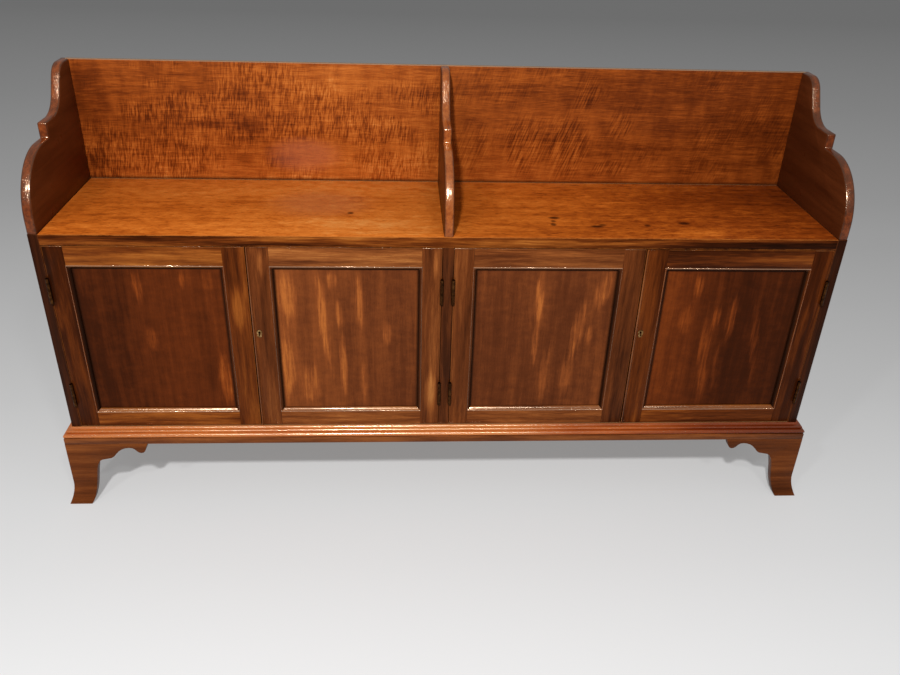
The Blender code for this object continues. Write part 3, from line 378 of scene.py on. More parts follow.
def paper_floor():
    """The pale floor, which darkens evenly behind the cabinet as in the photograph."""
    form = bmesh.new()
    bmesh.ops.create_grid(form, x_segments=4, y_segments=4, size=FLOOR_REACH)
    mesh = bpy.data.meshes.new("floor")
    form.to_mesh(mesh)
    form.free()
    floor = bpy.data.objects.new("floor", mesh)
    bpy.context.scene.collection.objects.link(floor)
    recipe = Recipe("paper")
    spot = recipe.add("TexCoord").outputs["Object"]
    back = recipe.add("SeparateXYZ", {0: spot}).outputs[1]
    low, high = FLOOR_GREYS[0][0], FLOOR_GREYS[-1][0]
    share = recipe.spread(back, low, high)
    greys = [((place - low) / (high - low), tone(grey, grey, grey)) for place, grey in FLOOR_GREYS]
    colour = recipe.ramp(share, greys)
    lit = recipe.mix(1.0, colour, (1 - FLOOR_GLOW,) * 3 + (1.0,), "MULTIPLY")
    recipe.feed(recipe.shader.inputs["Base Color"], lit)
    path = recipe.add("LightPath").outputs
    seen = recipe.math("MAXIMUM", path["Is Camera Ray"], path["Is Glossy Ray"])
    seen = recipe.math("MAXIMUM", seen, path["Is Transmission Ray"])
    recipe.feed(recipe.shader.inputs["Emission Color"], colour)
    recipe.feed(recipe.shader.inputs["Emission Strength"],
                recipe.math("MULTIPLY", seen, FLOOR_GLOW))
    recipe.gloss(Roughness=0.9, Specular_IOR_Level=0.1)
    mesh.materials.append(recipe.material)


# Carrying the finishes over to the pieces of the model

SMOOTH_ANGLE = radians(35)
SHARP_ANGLE = radians(50)
WELD = 0.00001
FLAT_ANGLE = radians(0.1)
EASING = 0.0006          # how far the arrises of the framing are rubbed down
SCROLL_EASING = 0.0020   # and those of the gallery's shaped boards


def rounded_copy(node, title, easing=0.0, segments=2):
    """A welded copy of a piece of the model, with eased arrises, shaded smooth over its rounds."""
    form = bmesh.new()
    form.from_mesh(frame["nodes"][node].data)
    bmesh.ops.remove_doubles(form, verts=form.verts, dist=WELD)
    bmesh.ops.dissolve_limit(form, angle_limit=FLAT_ANGLE, verts=form.verts, edges=form.edges)
    if easing:
        sharp = [edge for edge in form.edges if edge.is_manifold
                 and edge.calc_face_angle_signed() > SHARP_ANGLE]
        bmesh.ops.bevel(form, geom=sharp, offset=easing, offset_type="OFFSET", segments=segments,
                        profile=0.5, affect="EDGES", clamp_overlap=True, material=-1)
    mesh = bpy.data.meshes.new(title)
    form.to_mesh(mesh)
    form.free()
    mesh.shade_smooth()
    mesh.set_sharp_from_angle(angle=SMOOTH_ANGLE)
    piece = bpy.data.objects.new(title, mesh)
    bpy.context.scene.collection.objects.link(piece)
    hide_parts(node)
    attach(piece, BODY_OF[node])
    return piece


def dress(node, material, easing=0.0, second=None, takes_second=None, segments=2):
    """Finish a piece, with a second finish on the faces that a test of their normals picks."""
    piece = rounded_copy(node, f"{node}_finished", easing, segments)
    piece.data.materials.clear()
    piece.data.materials.append(material)
    if second:
        piece.data.materials.append(second)
        for face in piece.data.polygons:
            face.material_index = int(takes_second(face.normal))


# How far a face's normal reaches along an axis
FLAT = 0.998             # further than this for a flat front, along Y
SLOPED = 0.02            # further than this for a slope, along Y and Z
ROUNDED = 0.05           # further than this for the side of a bead, along Y
BOARD_SIDE = 0.85        # further than this for the flat side of a board, along X


def faces_up_and_forward(normal):
    """On a door's frame: mouldings and rubbed arrises that slope, not the flat front."""
    return -FLAT < normal.y < -SLOPED and normal.z > SLOPED


def faces_up_or_on_bead(normal):
    """On a beaded meeting stile: those, and the side of its bead beside the other door."""
    return faces_up_and_forward(normal) or (normal.x < ROUNDED and -FLAT < normal.y < -ROUNDED)


def faces_along_board(normal):
    """On a gallery board or an end: its edges, not its flat sides."""
    return abs(normal.x) < BOARD_SIDE


# Top and gallery

def across_front(x, z, width, height, strength, lean=0.0, y=GALLERY_FACE):
    """A patch on an upright face: its middle, its half sizes, its strength and its lean."""
    return ((x, y, z), (width, 1.0, height), (0, lean, 0), strength)


BACK_MARKS = (
    across_front(-0.856, 0.934, 0.055, 0.100, -0.16), across_front(-0.864, 0.778, 0.030, 0.030, -0.16),
    across_front(-0.480, 0.865, 0.055, 0.036, -0.15), across_front(-0.504, 0.943, 0.034, 0.024, -0.12),
    across_front(-0.670, 0.917, 0.015, 0.022, -0.12), across_front(-0.589, 0.870, 0.040, 0.014, -0.12),
    across_front(-0.501, 0.783, 0.034, 0.018, -0.14), across_front(-0.411, 0.773, 0.048, 0.028, -0.12),
    across_front(-0.257, 0.967, 0.130, 0.060, 0.08), across_front(-0.600, 0.832, 0.075, 0.032, 0.09),
    across_front(0.552, 0.789, 0.045, 0.036, 0.12), across_front(0.839, 0.830, 0.050, 0.080, -0.08),
)
RIPPLE_PLACES = (
    across_front(-0.139, 0.863, 0.060, 0.042, 0.9), across_front(-0.157, 0.776, 0.100, 0.042, 0.8),
    across_front(-0.604, 0.911, 0.200, 0.048, 0.9), across_front(-0.243, 0.868, 0.210, 0.056, 0.7),
    across_front(-0.704, 0.795, 0.220, 0.064, 0.8), across_front(-0.360, 0.900, 0.160, 0.090, 0.5),
)
LONG_RIPPLE_PLACES = (
    across_front(0.210, 0.825, 0.060, 0.100, 1.0), across_front(0.321, 0.826, 0.062, 0.100, 1.0),
    across_front(0.357, 0.961, 0.040, 0.050, 0.8), across_front(0.452, 0.879, 0.042, 0.046, 0.8),
    across_front(0.437, 0.769, 0.072, 0.026, 0.8), across_front(0.080, 0.830, 0.060, 0.090, 0.3),
)


class BackWood(Wood):
    """The gallery back: long grain crossed by fine ripple, most of it in the left bay."""

    def ripple(self, places, stretch, shear, amount, ground):
        """Short dark bands across the grain, leaning with the shear, in and near places."""
        leaned = self.math("MULTIPLY_ADD", self.z, -shear, self.x)
        laid = self.add("CombineXYZ", {0: leaned, 1: self.y, 2: self.z}).outputs[0]
        bands = self.cloud(laid, stretch, 2.0, 0.55)
        bands = self.spread(bands, 0.36, 0.60)
        amounts = self.spread(self.cloud(self.spot, (7.0, 7.0, 12.0), 2.0), 0.40, 0.62, 0.0, 1.0)
        amounts = self.math("MULTIPLY", amounts, self.spread(self.x, -0.06, 0.04, *ground))
        for where, size, turn, strength in places:
            patch = self.fade(where, size, turn, 0.6)
            amounts = self.math("MULTIPLY_ADD", patch, strength, amounts)
        depth = self.math("MULTIPLY", self.math("MINIMUM", amounts, 1.0), amount)
        part = self.math("SUBTRACT", bands, 0.66)
        self.value = self.math("MULTIPLY_ADD", part, depth, self.value)


def gallery_back_wood():
    wood = BackWood("gallery_back_polish", "X", 3.0, 0.02)
    wood.figure(0.16, 0.05, 0.22, 0.26)
    patches = wood.cloud(wood.spot, (30.0, 30.0, 13.0), 3.0, 0.6)
    wood.raise_by(patches, 0.42)
    wood.ripple(RIPPLE_PLACES, (340.0, 60.0, 40.0), 0.12, 0.35, (1.0, 0.20))
    wood.ripple(LONG_RIPPLE_PLACES, (270.0, 60.0, 20.0), 0.36, 0.32, (0.0, 0.34))
    wood.mark(BACK_MARKS, 0.7)
    # Partly the wood's own tone, partly painted light: lightest left of the middle, darker towards the
    # right end
    wood.grade(((-0.90, -0.10), (-0.70, -0.03), (-0.40, 0.05), (-0.10, 0.06), (0.10, -0.03),
                (0.30, -0.06), (0.60, -0.14), (0.90, -0.19)))
    wood.value = wood.math("ADD", wood.value, wood.spread(wood.z, TOP, TOP + 0.14, 0.10, -0.05))
    colour = wood.paint("back")
    # Painted sheen: a pale pink reflection painted on the back, left of the divider
    painted_back_sheen = wood.fade((-0.351, GALLERY_FACE, 0.792), (0.11, 1.0, 0.055), ragged=0.3)
    colour = wood.mix(wood.math("MULTIPLY", painted_back_sheen, 0.36), colour, tone(182, 106, 76))
    # Painted shade in the corner where the back meets the top board
    low = wood.spread(wood.z, TOP + 0.0015, TOP + 0.010, 0.75, 0.0, soft=True)
    colour = wood.mix(low, colour, tone(58, 24, 10))
    # Painted highlight: the top of the back and its arris are painted pale, as lit from above
    painted_top_edge_light = wood.spread(wood.z, GALLERY_TOP - 0.0016, GALLERY_TOP - 0.0006, 0.0, 0.9)
    colour = wood.mix(painted_top_edge_light, colour, tone(158, 126, 98))
    return wood.polish(colour, 0.36, 0.14)


def on_top(x, y, width, depth, strength, turn=0.0):
    return ((x, y, TOP), (width, depth, 1.0), (0, 0, turn), strength)


TOP_MARKS = (
    on_top(-0.495, 0.038, 0.075, 0.050, -0.12), on_top(-0.138, 0.047, 0.055, 0.060, -0.06),
    on_top(-0.216, 0.055, 0.024, 0.036, -0.16), on_top(-0.216, 0.055, 0.011, 0.018, 0.14),
    on_top(-0.183, -0.115, 0.230, 0.075, 0.09), on_top(-0.640, -0.020, 0.120, 0.040, -0.05),
    on_top(0.602, 0.057, 0.240, 0.100, -0.07), on_top(0.198, -0.080, 0.170, 0.090, 0.05),
    on_top(0.590, -0.135, 0.090, 0.026, 0.14), on_top(0.060, -0.120, 0.070, 0.050, 0.06),
)
STAIN_SPREAD = 1.7       # the stains' soft borders reach this far beyond their half sizes
TOP_STAINS = (
    on_top(-0.225, -0.032, 0.0060, 0.0060, 0.8), on_top(0.256, -0.051, 0.010, 0.006, 0.9),
    on_top(0.247, -0.093, 0.0055, 0.007, 0.8), on_top(0.250, -0.072, 0.0050, 0.0055, 0.7),
    on_top(0.348, -0.102, 0.012, 0.006, 0.9), on_top(0.363, -0.092, 0.008, 0.004, 0.8),
    on_top(0.468, -0.095, 0.006, 0.006, 0.7), on_top(0.562, -0.079, 0.011, 0.007, 0.9),
)


def front_band(wood):
    """The long dark flames on the top's front edge."""
    flames = wood.cloud(wood.bent, (3.2, 60.0, 60.0), 4.0, 0.62, (2.3, 0.7, 0.4))
    fibres = wood.cloud(wood.bent, (16.0, 420.0, 420.0), 3.0, 0.6, (0.2, 0.1, 0.8))
    value = wood.math("MULTIPLY_ADD", wood.math("SUBTRACT", flames, 0.5), 1.7, 0.47)
    value = wood.math("MULTIPLY_ADD", wood.math("SUBTRACT", fibres, 0.5), 0.5, value)
    # Partly the wood's own tone, partly painted light that falls off towards the right end
    value = wood.math("ADD", value, wood.along_front(wood.x, (
        (-0.90, -0.08), (-0.60, 0.0), (-0.20, 0.10), (0.10, 0.08), (0.35, -0.02),
        (0.60, -0.14), (0.90, -0.28))))
    return wood.paint("deep_frame", value)


TOP_SHINE, FRONT_SHINE = 0.10, 0.04   # levels of shine on the top and on its front edge


def top_wood():
    wood = Wood("top_polish", "X", 5.0, 0.0)
    wood.figure(0.20, 0.05, 0.16, 0.18)
    wood.mark(TOP_MARKS)
    flecks = wood.cloud(wood.laid, (58.0, 300.0, 300.0), 3.0, 0.6, (4.0, 2.0, 1.0))
    wood.raise_by(wood.spread(flecks, 0.34, 0.47), 0.20, 0.85)
    mottle = wood.cloud(wood.spot, (24.0, 48.0, 48.0), 3.0, 0.62)
    wood.raise_by(mottle, 0.52)
    # Painted reflected light: the top is painted lighter towards the gallery back
    wood.value = wood.math("ADD", wood.value, wood.spread(wood.y, FRONT, GALLERY_FACE, 0.02, 0.06))
    # Partly the wood's own tone, partly painted light: lightest left of the middle, darker towards the
    # right end
    wood.grade(((-0.90, -0.03), (-0.60, 0.03), (-0.30, 0.13), (-0.05, 0.13), (0.05, -0.03),
                (0.35, -0.10), (0.60, -0.20), (0.90, -0.34)))
    colour = wood.paint("top")
    # Painted sheen: a pale pink reflection of the gallery back painted on the top, left of the middle
    painted_top_sheen = wood.fade((-0.300, 0.03, TOP), (0.15, 0.11, 1.0), ragged=0.6)
    colour = wood.mix(wood.math("MULTIPLY", painted_top_sheen, 0.42), colour, tone(176, 104, 66))
    for where, size, turn, strength in TOP_STAINS:
        stain = wood.fade(where, tuple(STAIN_SPREAD * half for half in size), turn, 0.25)
        colour = wood.mix(wood.math("MULTIPLY", stain, strength), colour, tone(46, 14, 6))
    at_front = wood.spread(wood.y, FRONT + 0.0003, FRONT + 0.0012, 1.0, 0.0)
    colour = wood.mix(at_front, colour, front_band(wood))
    colour = wood.worn(colour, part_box("top_board"), (200, 116, 48), (76, 28, 8), 0.50, 0.25)
    shine = wood.math("MULTIPLY_ADD", at_front, FRONT_SHINE - TOP_SHINE, TOP_SHINE)
    return wood.polish(colour, 0.34, shine)


# Framing, ends and base

DULL_SHINE = 0.2         # level of shine on the upright parts of a glossy piece
LEAST_SHINE = 0.05       # and at its dullest end


def plain_wood(name, tones, along, seed, lift=0.0, box=None, stops=(), marks=(), level=0.12,
               gloss=0.32, coat=0.0, recess_shade=0.0, bold=1.0, depth=1.5, sheen=WARM_SHEEN, dulled=()):
    """Straight-grained mahogany for a rail, a stile, an end or a foot.

    With dulled, its shine weakens along the front, and upright surfaces shine least. With
    recess_shade, faces from a little behind its front to about a centimetre back are painted
    darker, as shade.
    """
    wood = Wood(name, along, seed, lift)
    wood.figure(0.28 * bold, 0.14 * bold, 0.34 * bold, 0.14 * bold, 72.0)
    wood.mark(marks, 0.8)
    if stops:
        wood.grade(stops)
    colour = wood.paint(tones)
    if box:
        colour = wood.worn(colour, box, TONES[tones][3], TONES[tones][0], 0.42, 0.40)
    # Painted shade in the recessed mouldings and edges behind the front of the frame
    if recess_shade:
        behind = wood.spread(wood.y, FRONT + 0.0006, FRONT + 0.0025, 0.0, recess_shade)
        behind = wood.math("MULTIPLY", behind, wood.spread(wood.y, FRONT + 0.009, FRONT + 0.013, 1.0, 0.0))
        colour = wood.mix(behind, colour, tone(22, 8, 3))
    waves = CALM if level > GLOSSY else WAVY
    if dulled:
        level = wood.shine_up(DULL_SHINE, level)
        level = wood.math("ADD", level, wood.along_front(wood.x, dulled))
        level = wood.math("MAXIMUM", level, LEAST_SHINE)
    return wood.polish(colour, gloss, level, coat, waves, depth, sheen)


def streak(x, top, bottom, width, strength, lean=0.0, y=PANEL_FACE):
    """An upright streak on a panel or stile, from its top to its bottom."""
    half = (top - bottom) / 2
    return ((x, y, bottom + half), (width / 2, 1.0, half * 1.15), (0, lean, 0), strength)


PANEL_MARKS = {
    1: (streak(-0.703, 0.640, 0.555, 0.030, 0.30), streak(-0.602, 0.640, 0.590, 0.018, 0.22),
        streak(-0.687, 0.490, 0.430, 0.038, 0.20), streak(-0.527, 0.42, 0.275, 0.045, 0.30),
        streak(-0.836, 0.650, 0.570, 0.080, 0.08), streak(-0.547, 0.640, 0.585, 0.045, 0.10)),
    2: (streak(-0.368, 0.640, 0.510, 0.050, 0.30, -4), streak(-0.379, 0.490, 0.275, 0.042, 0.32),
        streak(-0.289, 0.640, 0.395, 0.026, 0.32, -3), streak(-0.266, 0.640, 0.590, 0.028, 0.30),
        streak(-0.253, 0.560, 0.490, 0.024, 0.28), streak(-0.204, 0.640, 0.490, 0.028, 0.32),
        streak(-0.137, 0.500, 0.442, 0.024, 0.30), streak(-0.245, 0.470, 0.300, 0.024, 0.30),
        streak(-0.196, 0.400, 0.275, 0.022, 0.20), streak(-0.331, 0.400, 0.275, 0.060, 0.24)),
    3: (streak(0.219, 0.645, 0.485, 0.028, 0.34), streak(0.215, 0.500, 0.385, 0.018, 0.24),
        streak(0.366, 0.645, 0.540, 0.042, 0.32, 12), streak(0.316, 0.570, 0.410, 0.040, 0.28, 8),
        streak(0.300, 0.450, 0.300, 0.040, 0.24, 5), streak(0.344, 0.500, 0.444, 0.024, 0.20),
        streak(0.246, 0.450, 0.270, 0.038, 0.18, 3)),
    4: (streak(0.590, 0.640, 0.570, 0.026, 0.30), streak(0.572, 0.555, 0.470, 0.032, 0.24),
        streak(0.637, 0.540, 0.270, 0.036, 0.24, -6), streak(0.685, 0.575, 0.450, 0.034, 0.30),
        streak(0.649, 0.555, 0.490, 0.022, 0.22), streak(0.756, 0.570, 0.335, 0.030, 0.24, -6),
        streak(0.672, 0.460, 0.300, 0.020, 0.16, -4)),
}
STILE_MARKS = {
    "door_1_meeting_stile": (streak(-0.478, 0.605, 0.480, 0.040, 0.22, y=STILE_FACE),
                             streak(-0.478, 0.720, 0.590, 0.100, -0.08, y=STILE_FACE)),
    "door_1_hinge_stile": (streak(-0.886, 0.570, 0.480, 0.024, 0.18, y=STILE_FACE),),
    "door_2_hinge_stile": (streak(-0.036, 0.380, 0.255, 0.036, 0.22, y=STILE_FACE),
                           streak(-0.030, 0.700, 0.620, 0.014, 0.20, y=STILE_FACE)),
    "door_2_meeting_stile": (streak(-0.416, 0.700, 0.620, 0.024, 0.14, y=STILE_FACE),),
    "door_3_meeting_stile": (streak(0.416, 0.420, 0.200, 0.100, 0.10, y=STILE_FACE),
                             streak(0.416, 0.720, 0.560, 0.100, -0.04, y=STILE_FACE)),
}

# How light each piece of a door is: hinge stile, meeting stile, top rail, bottom rail, and
# the panel at its left, middle and right
DOOR_LIFTS = {
    1: (-0.29, 0.0, 0.15, 0.04, (-0.17, -0.06, 0.02)),
    2: (-0.04, -0.04, 0.17, 0.15, (0.16, 0.06, 0.09)),
    3: (-0.05, -0.12, 0.05, 0.0, (0.03, 0.00, 0.06)),
    4: (-0.22, -0.13, -0.16, -0.04, (0.04, -0.16, -0.24)),
}
DEEP_DOORS = (1, 4)      # the outer doors are redder and darker
LOCKED_DOORS = (2, 4)    # these carry the locks, and a bead on the meeting stile
PANEL_TUCK = 0.006       # how far a panel's edge goes into its groove
# Painted light: a door frame's up-facing mouldings and arrises are lifted lighter than its flats, as lit
LIT_MOULDING_LIFT = 0.12       # how much lighter the mouldings of a door's frame are than its flats
JOINERY = (("hinge_stile", "Z"), ("meeting_stile", "Z"), ("top_rail", "X"), ("bottom_rail", "X"))


def panel_wood(number, seed):
    """A flat panel: dark wood with light upright streaks and short ripple beside them, and painted shade
    round its edges.
    """
    node = f"door_{number}_panel"
    low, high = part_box(node)
    left, middle, right = DOOR_LIFTS[number][4]
    wood = Wood(f"{node}_polish", "Z", seed, 0.0)
    wood.figure(0.20, 0.06, 0.13, 0.07, 80.0)
    ripple = wood.cloud(wood.bent, (34.0, 34.0, 60.0), 3.0, 0.6, (seed, 0.0, 0.3))
    wood.raise_by(ripple, 0.20)
    broken = wood.cloud(wood.laid, (11.0, 170.0, 170.0), 3.0, 0.6, (0.7, 0.2, 0.4))
    broken = wood.spread(broken, 0.36, 0.60, 0.25, 1.1)
    for where, size, turn, strength in PANEL_MARKS[number]:
        patch = wood.math("MULTIPLY", wood.fade(where, size, turn, 1.3), broken)
        wood.value = wood.math("MULTIPLY_ADD", patch, strength, wood.value)
    third = (high.x - low.x) / 3
    wood.grade(((low.x, left), (low.x + third, (left + middle) / 2),
                (low.x + 2 * third, (middle + right) / 2), (high.x, right)))
    colour = wood.paint("deep_panel" if number in DEEP_DOORS else "panel")
    # Painted shade round the panel's edges beside its frame, twice as wide along the top and sides as
    # along the bottom
    edge = wood.math("MINIMUM", wood.math("SUBTRACT", high.z - PANEL_TUCK, wood.z),
                     wood.math("MULTIPLY", wood.math("SUBTRACT", wood.z, low.z + PANEL_TUCK), 2.0))
    edge = wood.math("MINIMUM", edge, wood.math("SUBTRACT", wood.x, low.x + PANEL_TUCK))
    edge = wood.math("MINIMUM", edge, wood.math("SUBTRACT", high.x - PANEL_TUCK, wood.x))
    recess_shade = wood.spread(edge, 0.001, 0.007, 0.8, 0.0, soft=True)
    colour = wood.mix(recess_shade, colour, tone(24, 9, 3))
    return wood.polish(colour, 0.34, 0.08)


def dress_doors():
    seed = 1.0
    for number in (1, 2, 3, 4):
        for (role, along), lift in zip(JOINERY, DOOR_LIFTS[number]):
            node = f"door_{number}_{role}"
            seed += 1.7
            tones = "deep_frame" if number in DEEP_DOORS else "frame"
            beaded = role == "meeting_stile" and number in LOCKED_DOORS
            shared = {"tones": tones, "along": along, "seed": seed, "box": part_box(node),
                      "marks": STILE_MARKS.get(node, ()), "bold": 1.3 if along == "X" else 0.95}
            flat = plain_wood(f"{node}_polish", lift=lift, level=0.08, gloss=0.34, recess_shade=0.85, **shared)
            lit_moulding = plain_wood(f"{node}_moulding_polish", lift=lift + LIT_MOULDING_LIFT, level=1.0,
                                gloss=0.25, depth=1.5 if beaded else 1.9, **shared)
            dress(node, flat, EASING, lit_moulding,
                  faces_up_or_on_bead if beaded else faces_up_and_forward)
        dress(f"door_{number}_panel", panel_wood(number, seed))
        panel_bead(number, seed)


BEAD_HALF = 0.0012       # half the width of the bead round a panel
BEAD_DEEP = 0.0012       # how deep it is in all, and how much of that is let in
BEAD_SUNK = 0.0006
BEAD_ROUND = 0.92 * BEAD_HALF          # radius of its rounded arrises
BEAD_SMOOTH_ANGLE = radians(60)
BEAD_UPRIGHT = 0.1       # the normals of its upright members are longer than this along X
PANEL_PLAY = 0.0010      # from a panel's edge to the flat of the frame round it


def panel_bead(number, seed):
    """The fine bead along the inner arris of a door's frame, mitred at its corners.

    Its level members catch the light and are painted lighter as lit, and its upright ones have a plain
    finish and are painted darker as shaded.
    """
    low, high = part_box(f"door_{number}_panel")
    middle, half = (low + high) / 2, (high - low) / 2
    reach = PANEL_PLAY + BEAD_HALF
    form = bmesh.new()
    bmesh.ops.create_grid(form, x_segments=1, y_segments=1, size=1.0)
    bmesh.ops.scale(form, verts=form.verts, vec=(half.x + reach, half.z + reach, 1.0))
    bmesh.ops.rotate(form, cent=(0, 0, 0), matrix=Matrix.Rotation(pi / 2, 3, "X"), verts=form.verts)
    ring = bmesh.ops.inset_region(form, faces=form.faces[:], thickness=2 * BEAD_HALF,
                                  use_boundary=True, use_even_offset=True)["faces"]
    bmesh.ops.delete(form, geom=[face for face in form.faces if face not in ring], context="FACES")
    fronts = bmesh.ops.extrude_face_region(form, geom=form.faces[:])["geom"]
    fronts = [part for part in fronts if isinstance(part, bmesh.types.BMVert)]
    bmesh.ops.translate(form, verts=fronts, vec=(0, -BEAD_DEEP, 0))
    bmesh.ops.recalc_face_normals(form, faces=form.faces)
    arrises = [edge for edge in form.edges if all(vert in fronts for vert in edge.verts)
               and edge.calc_face_angle() > SHARP_ANGLE]
    bmesh.ops.bevel(form, geom=arrises, offset=BEAD_ROUND, offset_type="OFFSET", segments=4,
                    profile=0.5, affect="EDGES", clamp_overlap=True, material=-1)
    bmesh.ops.translate(form, verts=form.verts, vec=(middle.x, FRONT + BEAD_SUNK, middle.z))
    title = f"door_{number}_panel_bead"
    mesh = bpy.data.meshes.new(title)
    form.to_mesh(mesh)
    form.free()
    mesh.shade_smooth()
    mesh.set_sharp_from_angle(angle=BEAD_SMOOTH_ANGLE)
    piece = bpy.data.objects.new(title, mesh)
    bpy.context.scene.collection.objects.link(piece)
    tones = "deep_frame" if number in DEEP_DOORS else "frame"
    # Painted light and shade: level members lifted lighter, upright members darker
    mesh.materials.append(plain_wood(f"{title}_polish", tones, "X", seed, 0.10, level=1.0, gloss=0.17,
                                     depth=2.6))
    mesh.materials.append(plain_wood(f"{title}_side_polish", tones, "Z", seed, -0.10, level=0.30))
    for face in mesh.polygons:
        face.material_index = int(abs(face.normal.x) > BEAD_UPRIGHT)
    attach(piece, BODY_OF[f"door_{number}_panel"])


def scrolled_edge(node, seed, lift):
    """Coppery, well polished wood on a gallery board's shaped edge, partly painted light, with painted
    shade darkening its arrises.
    """
    low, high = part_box(node)
    middle, half = (low.x + high.x) / 2, (high.x - low.x) / 2
    wood = Wood(f"{node}_edge_polish", "Y", seed, lift)
    wood.figure(0.20, 0.10, 0.34, 0.18)
    inward = wood.math("SUBTRACT", half, wood.math("ABSOLUTE", wood.math("SUBTRACT", wood.x, middle)))
    # Painted shade at the arrises, blending into the lit coppery middle of the edge
    rim = wood.spread(inward, 0.0006, 0.0055, 0.85, 0.0, soft=True)
    colour = wood.mix(rim, wood.paint("edge"), wood.paint("end"))
    return wood.polish(colour, 0.15, wood.shine_up(DULL_SHINE, 1.0), depth=1.9)


# Gallery boards: piece, seed, and how light its flat sides and its shaped edge are; the sides'
# dark tones are partly painted shade, the edge's coppery ones partly painted light
GALLERY_BOARDS = (("gallery_end_left", 41.0, 0.12, -0.12), ("gallery_end_right", 43.0, 0.07, -0.18),
                  ("gallery_divider", 47.0, 0.06, 0.18))

# Along the front: how light the base moulding and the rail under it are, partly their own tone
# and partly painted light that falls off to the right, and how much the moulding's shine weakens
MOULDING_GRADE = ((-0.93, 0.03), (-0.60, 0.10), (-0.20, 0.14), (0.16, 0.12), (0.34, -0.13),
                  (0.60, -0.25), (0.93, -0.37))
RAIL_GRADE = ((-0.93, -0.01), (-0.20, 0.02), (0.35, 0.04), (0.60, 0.08), (0.78, -0.12),
              (0.93, -0.20))
MOULDING_DULLED = ((-0.93, -0.10), (-0.50, 0.0), (0.22, 0.0), (0.45, -0.40), (0.93, -0.48))

# Darker wood at the toes
TOE_MARKS = {
    "foot_front_left": (((-0.90, FRONT, 0.010), (0.09, 1.0, 0.030), (0, 0, 0), -0.10),),
    "foot_front_right": (((0.90, FRONT, 0.010), (0.09, 1.0, 0.030), (0, 0, 0), -0.18),),
}

# Carcass and base: piece, tones, grain, how light it is, slot, grade and level of shine
CARCASS = (
    ("end_left", "end", "Z", -0.20, "mahogany_carcass", (), 0.10),
    ("end_right", "end", "Z", -0.27, "mahogany_carcass", (), 0.10),
    ("centre_division", "frame", "Z", -0.10, "mahogany_carcass", (), 0.10),
    ("base_moulding", "base", "X", 0.09, "mahogany_base", MOULDING_GRADE, 1.0),
    ("base_frame", "frame", "X", 0.07, "mahogany_base", RAIL_GRADE, 0.20),
    ("foot_front_left", "frame", "X", 0.0, "mahogany_base", (), 0.10),
    ("foot_front_right", "frame", "X", -0.01, "mahogany_base", (), 0.10),
    ("foot_rear_left", "frame", "X", 0.0, "mahogany_base", (), 0.10),
    ("foot_rear_right", "frame", "X", 0.0, "mahogany_base", (), 0.10),
    ("bottom_board", "inside", "X", 0.0, "inside_wood", (), 0.10),
    ("shelf_left", "inside", "X", 0.0, "inside_wood", (), 0.10),
    ("shelf_right", "inside", "X", 0.0, "inside_wood", (), 0.10),
    ("carcass_back", "inside", "X", -0.05, "inside_wood", (), 0.10),
)
END_SIDE_LIFT = 0.10     # how light the outer sides of the ends are


def dress_boards():
    dress("gallery_back", gallery_back_wood(), EASING)
    dress("top_board", top_wood(), EASING)
    for node, seed, lift, edge in GALLERY_BOARDS:
        # Partly painted shade: the flat sides take the dark end tones
        sides = plain_wood(f"{node}_polish", "end", "Y", seed, lift, level=0.10, bold=0.4)
        dress(node, sides, SCROLL_EASING, scrolled_edge(node, seed, edge),
              faces_along_board, 3)
    seed = 50.0
    for node, tones, along, lift, slot, grade, level in CARCASS:
        seed += 2.3
        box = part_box(node) if tones in ("inside", "end") else None
        looks = {"bold": 0.6 if "foot" in node else 1.0, "marks": TOE_MARKS.get(node, ())}
        if level > GLOSSY:
            looks = {"bold": 0.6, "gloss": 0.22, "coat": 0.15, "depth": 2.15, "sheen": PALE_SHEEN,
                     "dulled": MOULDING_DULLED}
        material = plain_wood(f"{node}_polish", tones, along, seed, lift, box, grade, level=level,
                              **looks)
        if tones == "end":
            side = plain_wood(f"{node}_side_polish", tones, along, seed, END_SIDE_LIFT, level=level,
                              bold=0.5)
            dress(node, side, EASING, material, faces_along_board)
        else:
            dress(node, material, EASING)


SCREW_RADIUS = 0.0029
SCREW_DEPTH = 0.0005
SCREW_PROUD = 0.00012    # how far a head stands out of its leaf
SLOT_WIDTH = 0.0007
SLOT_DEPTH = 0.0003
SCREW_RIM = 0.0001       # bevel round a head
SCREW_SIDES = 28
SCREW_PLACES = ((0.16, 0.0068), (0.50, 0.0112), (0.84, 0.0068))   # share of a leaf's height, depth
FIRST_TURN, NEXT_TURN = 0.9, 1.3       # turn of the first slot, and of each one from the last
LEAF_PLAY = 0.0006       # from the middle of a hinge to the face of a leaf
LEFT_HUNG = (1, 3)       # doors that hang by their left edge


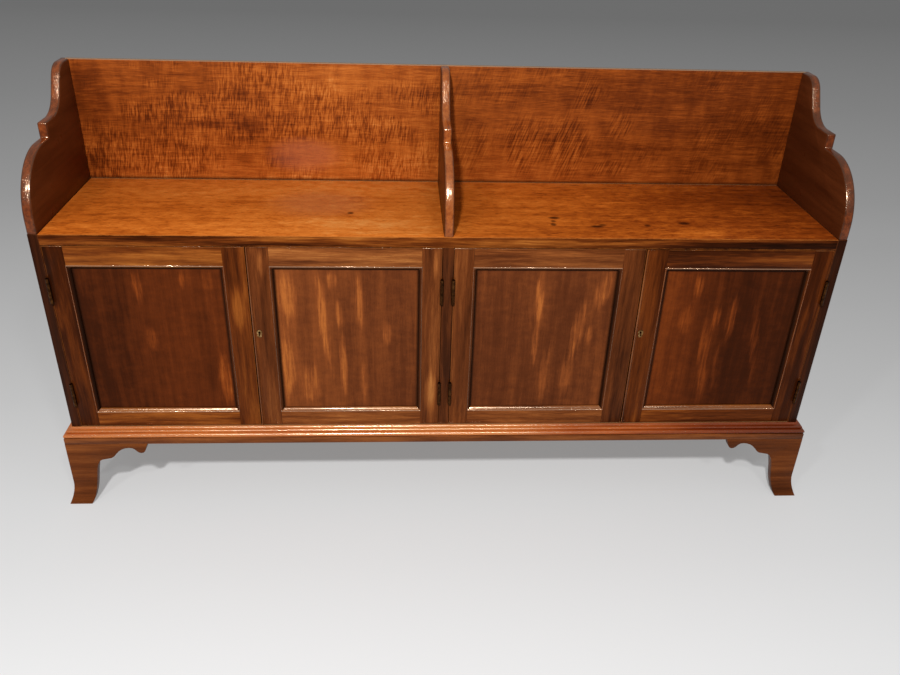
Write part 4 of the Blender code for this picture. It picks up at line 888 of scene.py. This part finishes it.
def screw_head():
    """A flat, slotted screw head, with its middle at the origin and its slot along X."""
    form = bmesh.new()
    bmesh.ops.create_cone(form, cap_ends=True, segments=SCREW_SIDES, radius1=SCREW_RADIUS,
                          radius2=SCREW_RADIUS, depth=SCREW_DEPTH)
    rim = [edge for edge in form.edges if all(vert.co.z > 0 for vert in edge.verts)]
    bmesh.ops.bevel(form, geom=rim, offset=SCREW_RIM, offset_type="OFFSET", segments=1, profile=0.5,
                    affect="EDGES", clamp_overlap=True, material=-1)
    for side in (-0.5, 0.5):
        bmesh.ops.bisect_plane(form, geom=form.verts[:] + form.edges[:] + form.faces[:], dist=1e-7,
                               plane_co=(0, side * SLOT_WIDTH, 0), plane_no=(0, 1, 0))
    form.normal_update()
    strip = [face for face in form.faces if face.normal.z > 0.99
             and abs(face.calc_center_median().y) < SLOT_WIDTH / 4]
    floor = bmesh.ops.extrude_discrete_faces(form, faces=strip)["faces"]
    verts = list({vert for face in floor for vert in face.verts})
    bmesh.ops.translate(form, verts=verts, vec=(0, 0, -SLOT_DEPTH))
    head = bpy.data.meshes.new("screw_head")
    form.to_mesh(head)
    form.free()
    return head


def leaf_screws(node, head, material):
    """The three screws of a hinge leaf, zigzag along it, each turned its own way."""
    low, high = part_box(node)
    door = int(node.split("_")[1])
    outward = 1 if ("fixed" in node) == (door in LEFT_HUNG) else -1
    face = (low.x + high.x) / 2 - outward * (LEAF_PLAY + SCREW_DEPTH / 2 - SCREW_PROUD)
    form = bmesh.new()
    for index, (share, depth) in enumerate(SCREW_PLACES):
        before = set(form.verts)
        form.from_mesh(head)
        verts = [vert for vert in form.verts if vert not in before]
        turned = (Matrix.Rotation(outward * pi / 2, 4, "Y")
                  @ Matrix.Rotation(FIRST_TURN + NEXT_TURN * index, 4, "Z"))
        spot = Vector((face, FRONT + depth, low.z + (high.z - low.z) * share))
        bmesh.ops.transform(form, matrix=Matrix.Translation(spot) @ turned, verts=verts)
    title = f"{node}_screws"
    mesh = bpy.data.meshes.new(title)
    form.to_mesh(mesh)
    form.free()
    piece = bpy.data.objects.new(title, mesh)
    bpy.context.scene.collection.objects.link(piece)
    mesh.materials.append(material)
    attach(piece, BODY_OF[node])


def dress_brass():
    browned = aged_brass("aged_brass", BROWNED, 0.42)
    rubbed = aged_brass("rubbed_brass", RUBBED, 0.24, 3.0)
    head = screw_head()
    for node in sorted(frame["nodes"]):
        if "escutcheon" in node:
            dress(node, rubbed)
        elif "leaf" in node or "lock" in node:
            dress(node, browned)
        if "leaf" in node:
            leaf_screws(node, head, rubbed)


set_camera()
set_lamps()
paper_floor()
dress_boards()
dress_doors()
dress_brass()
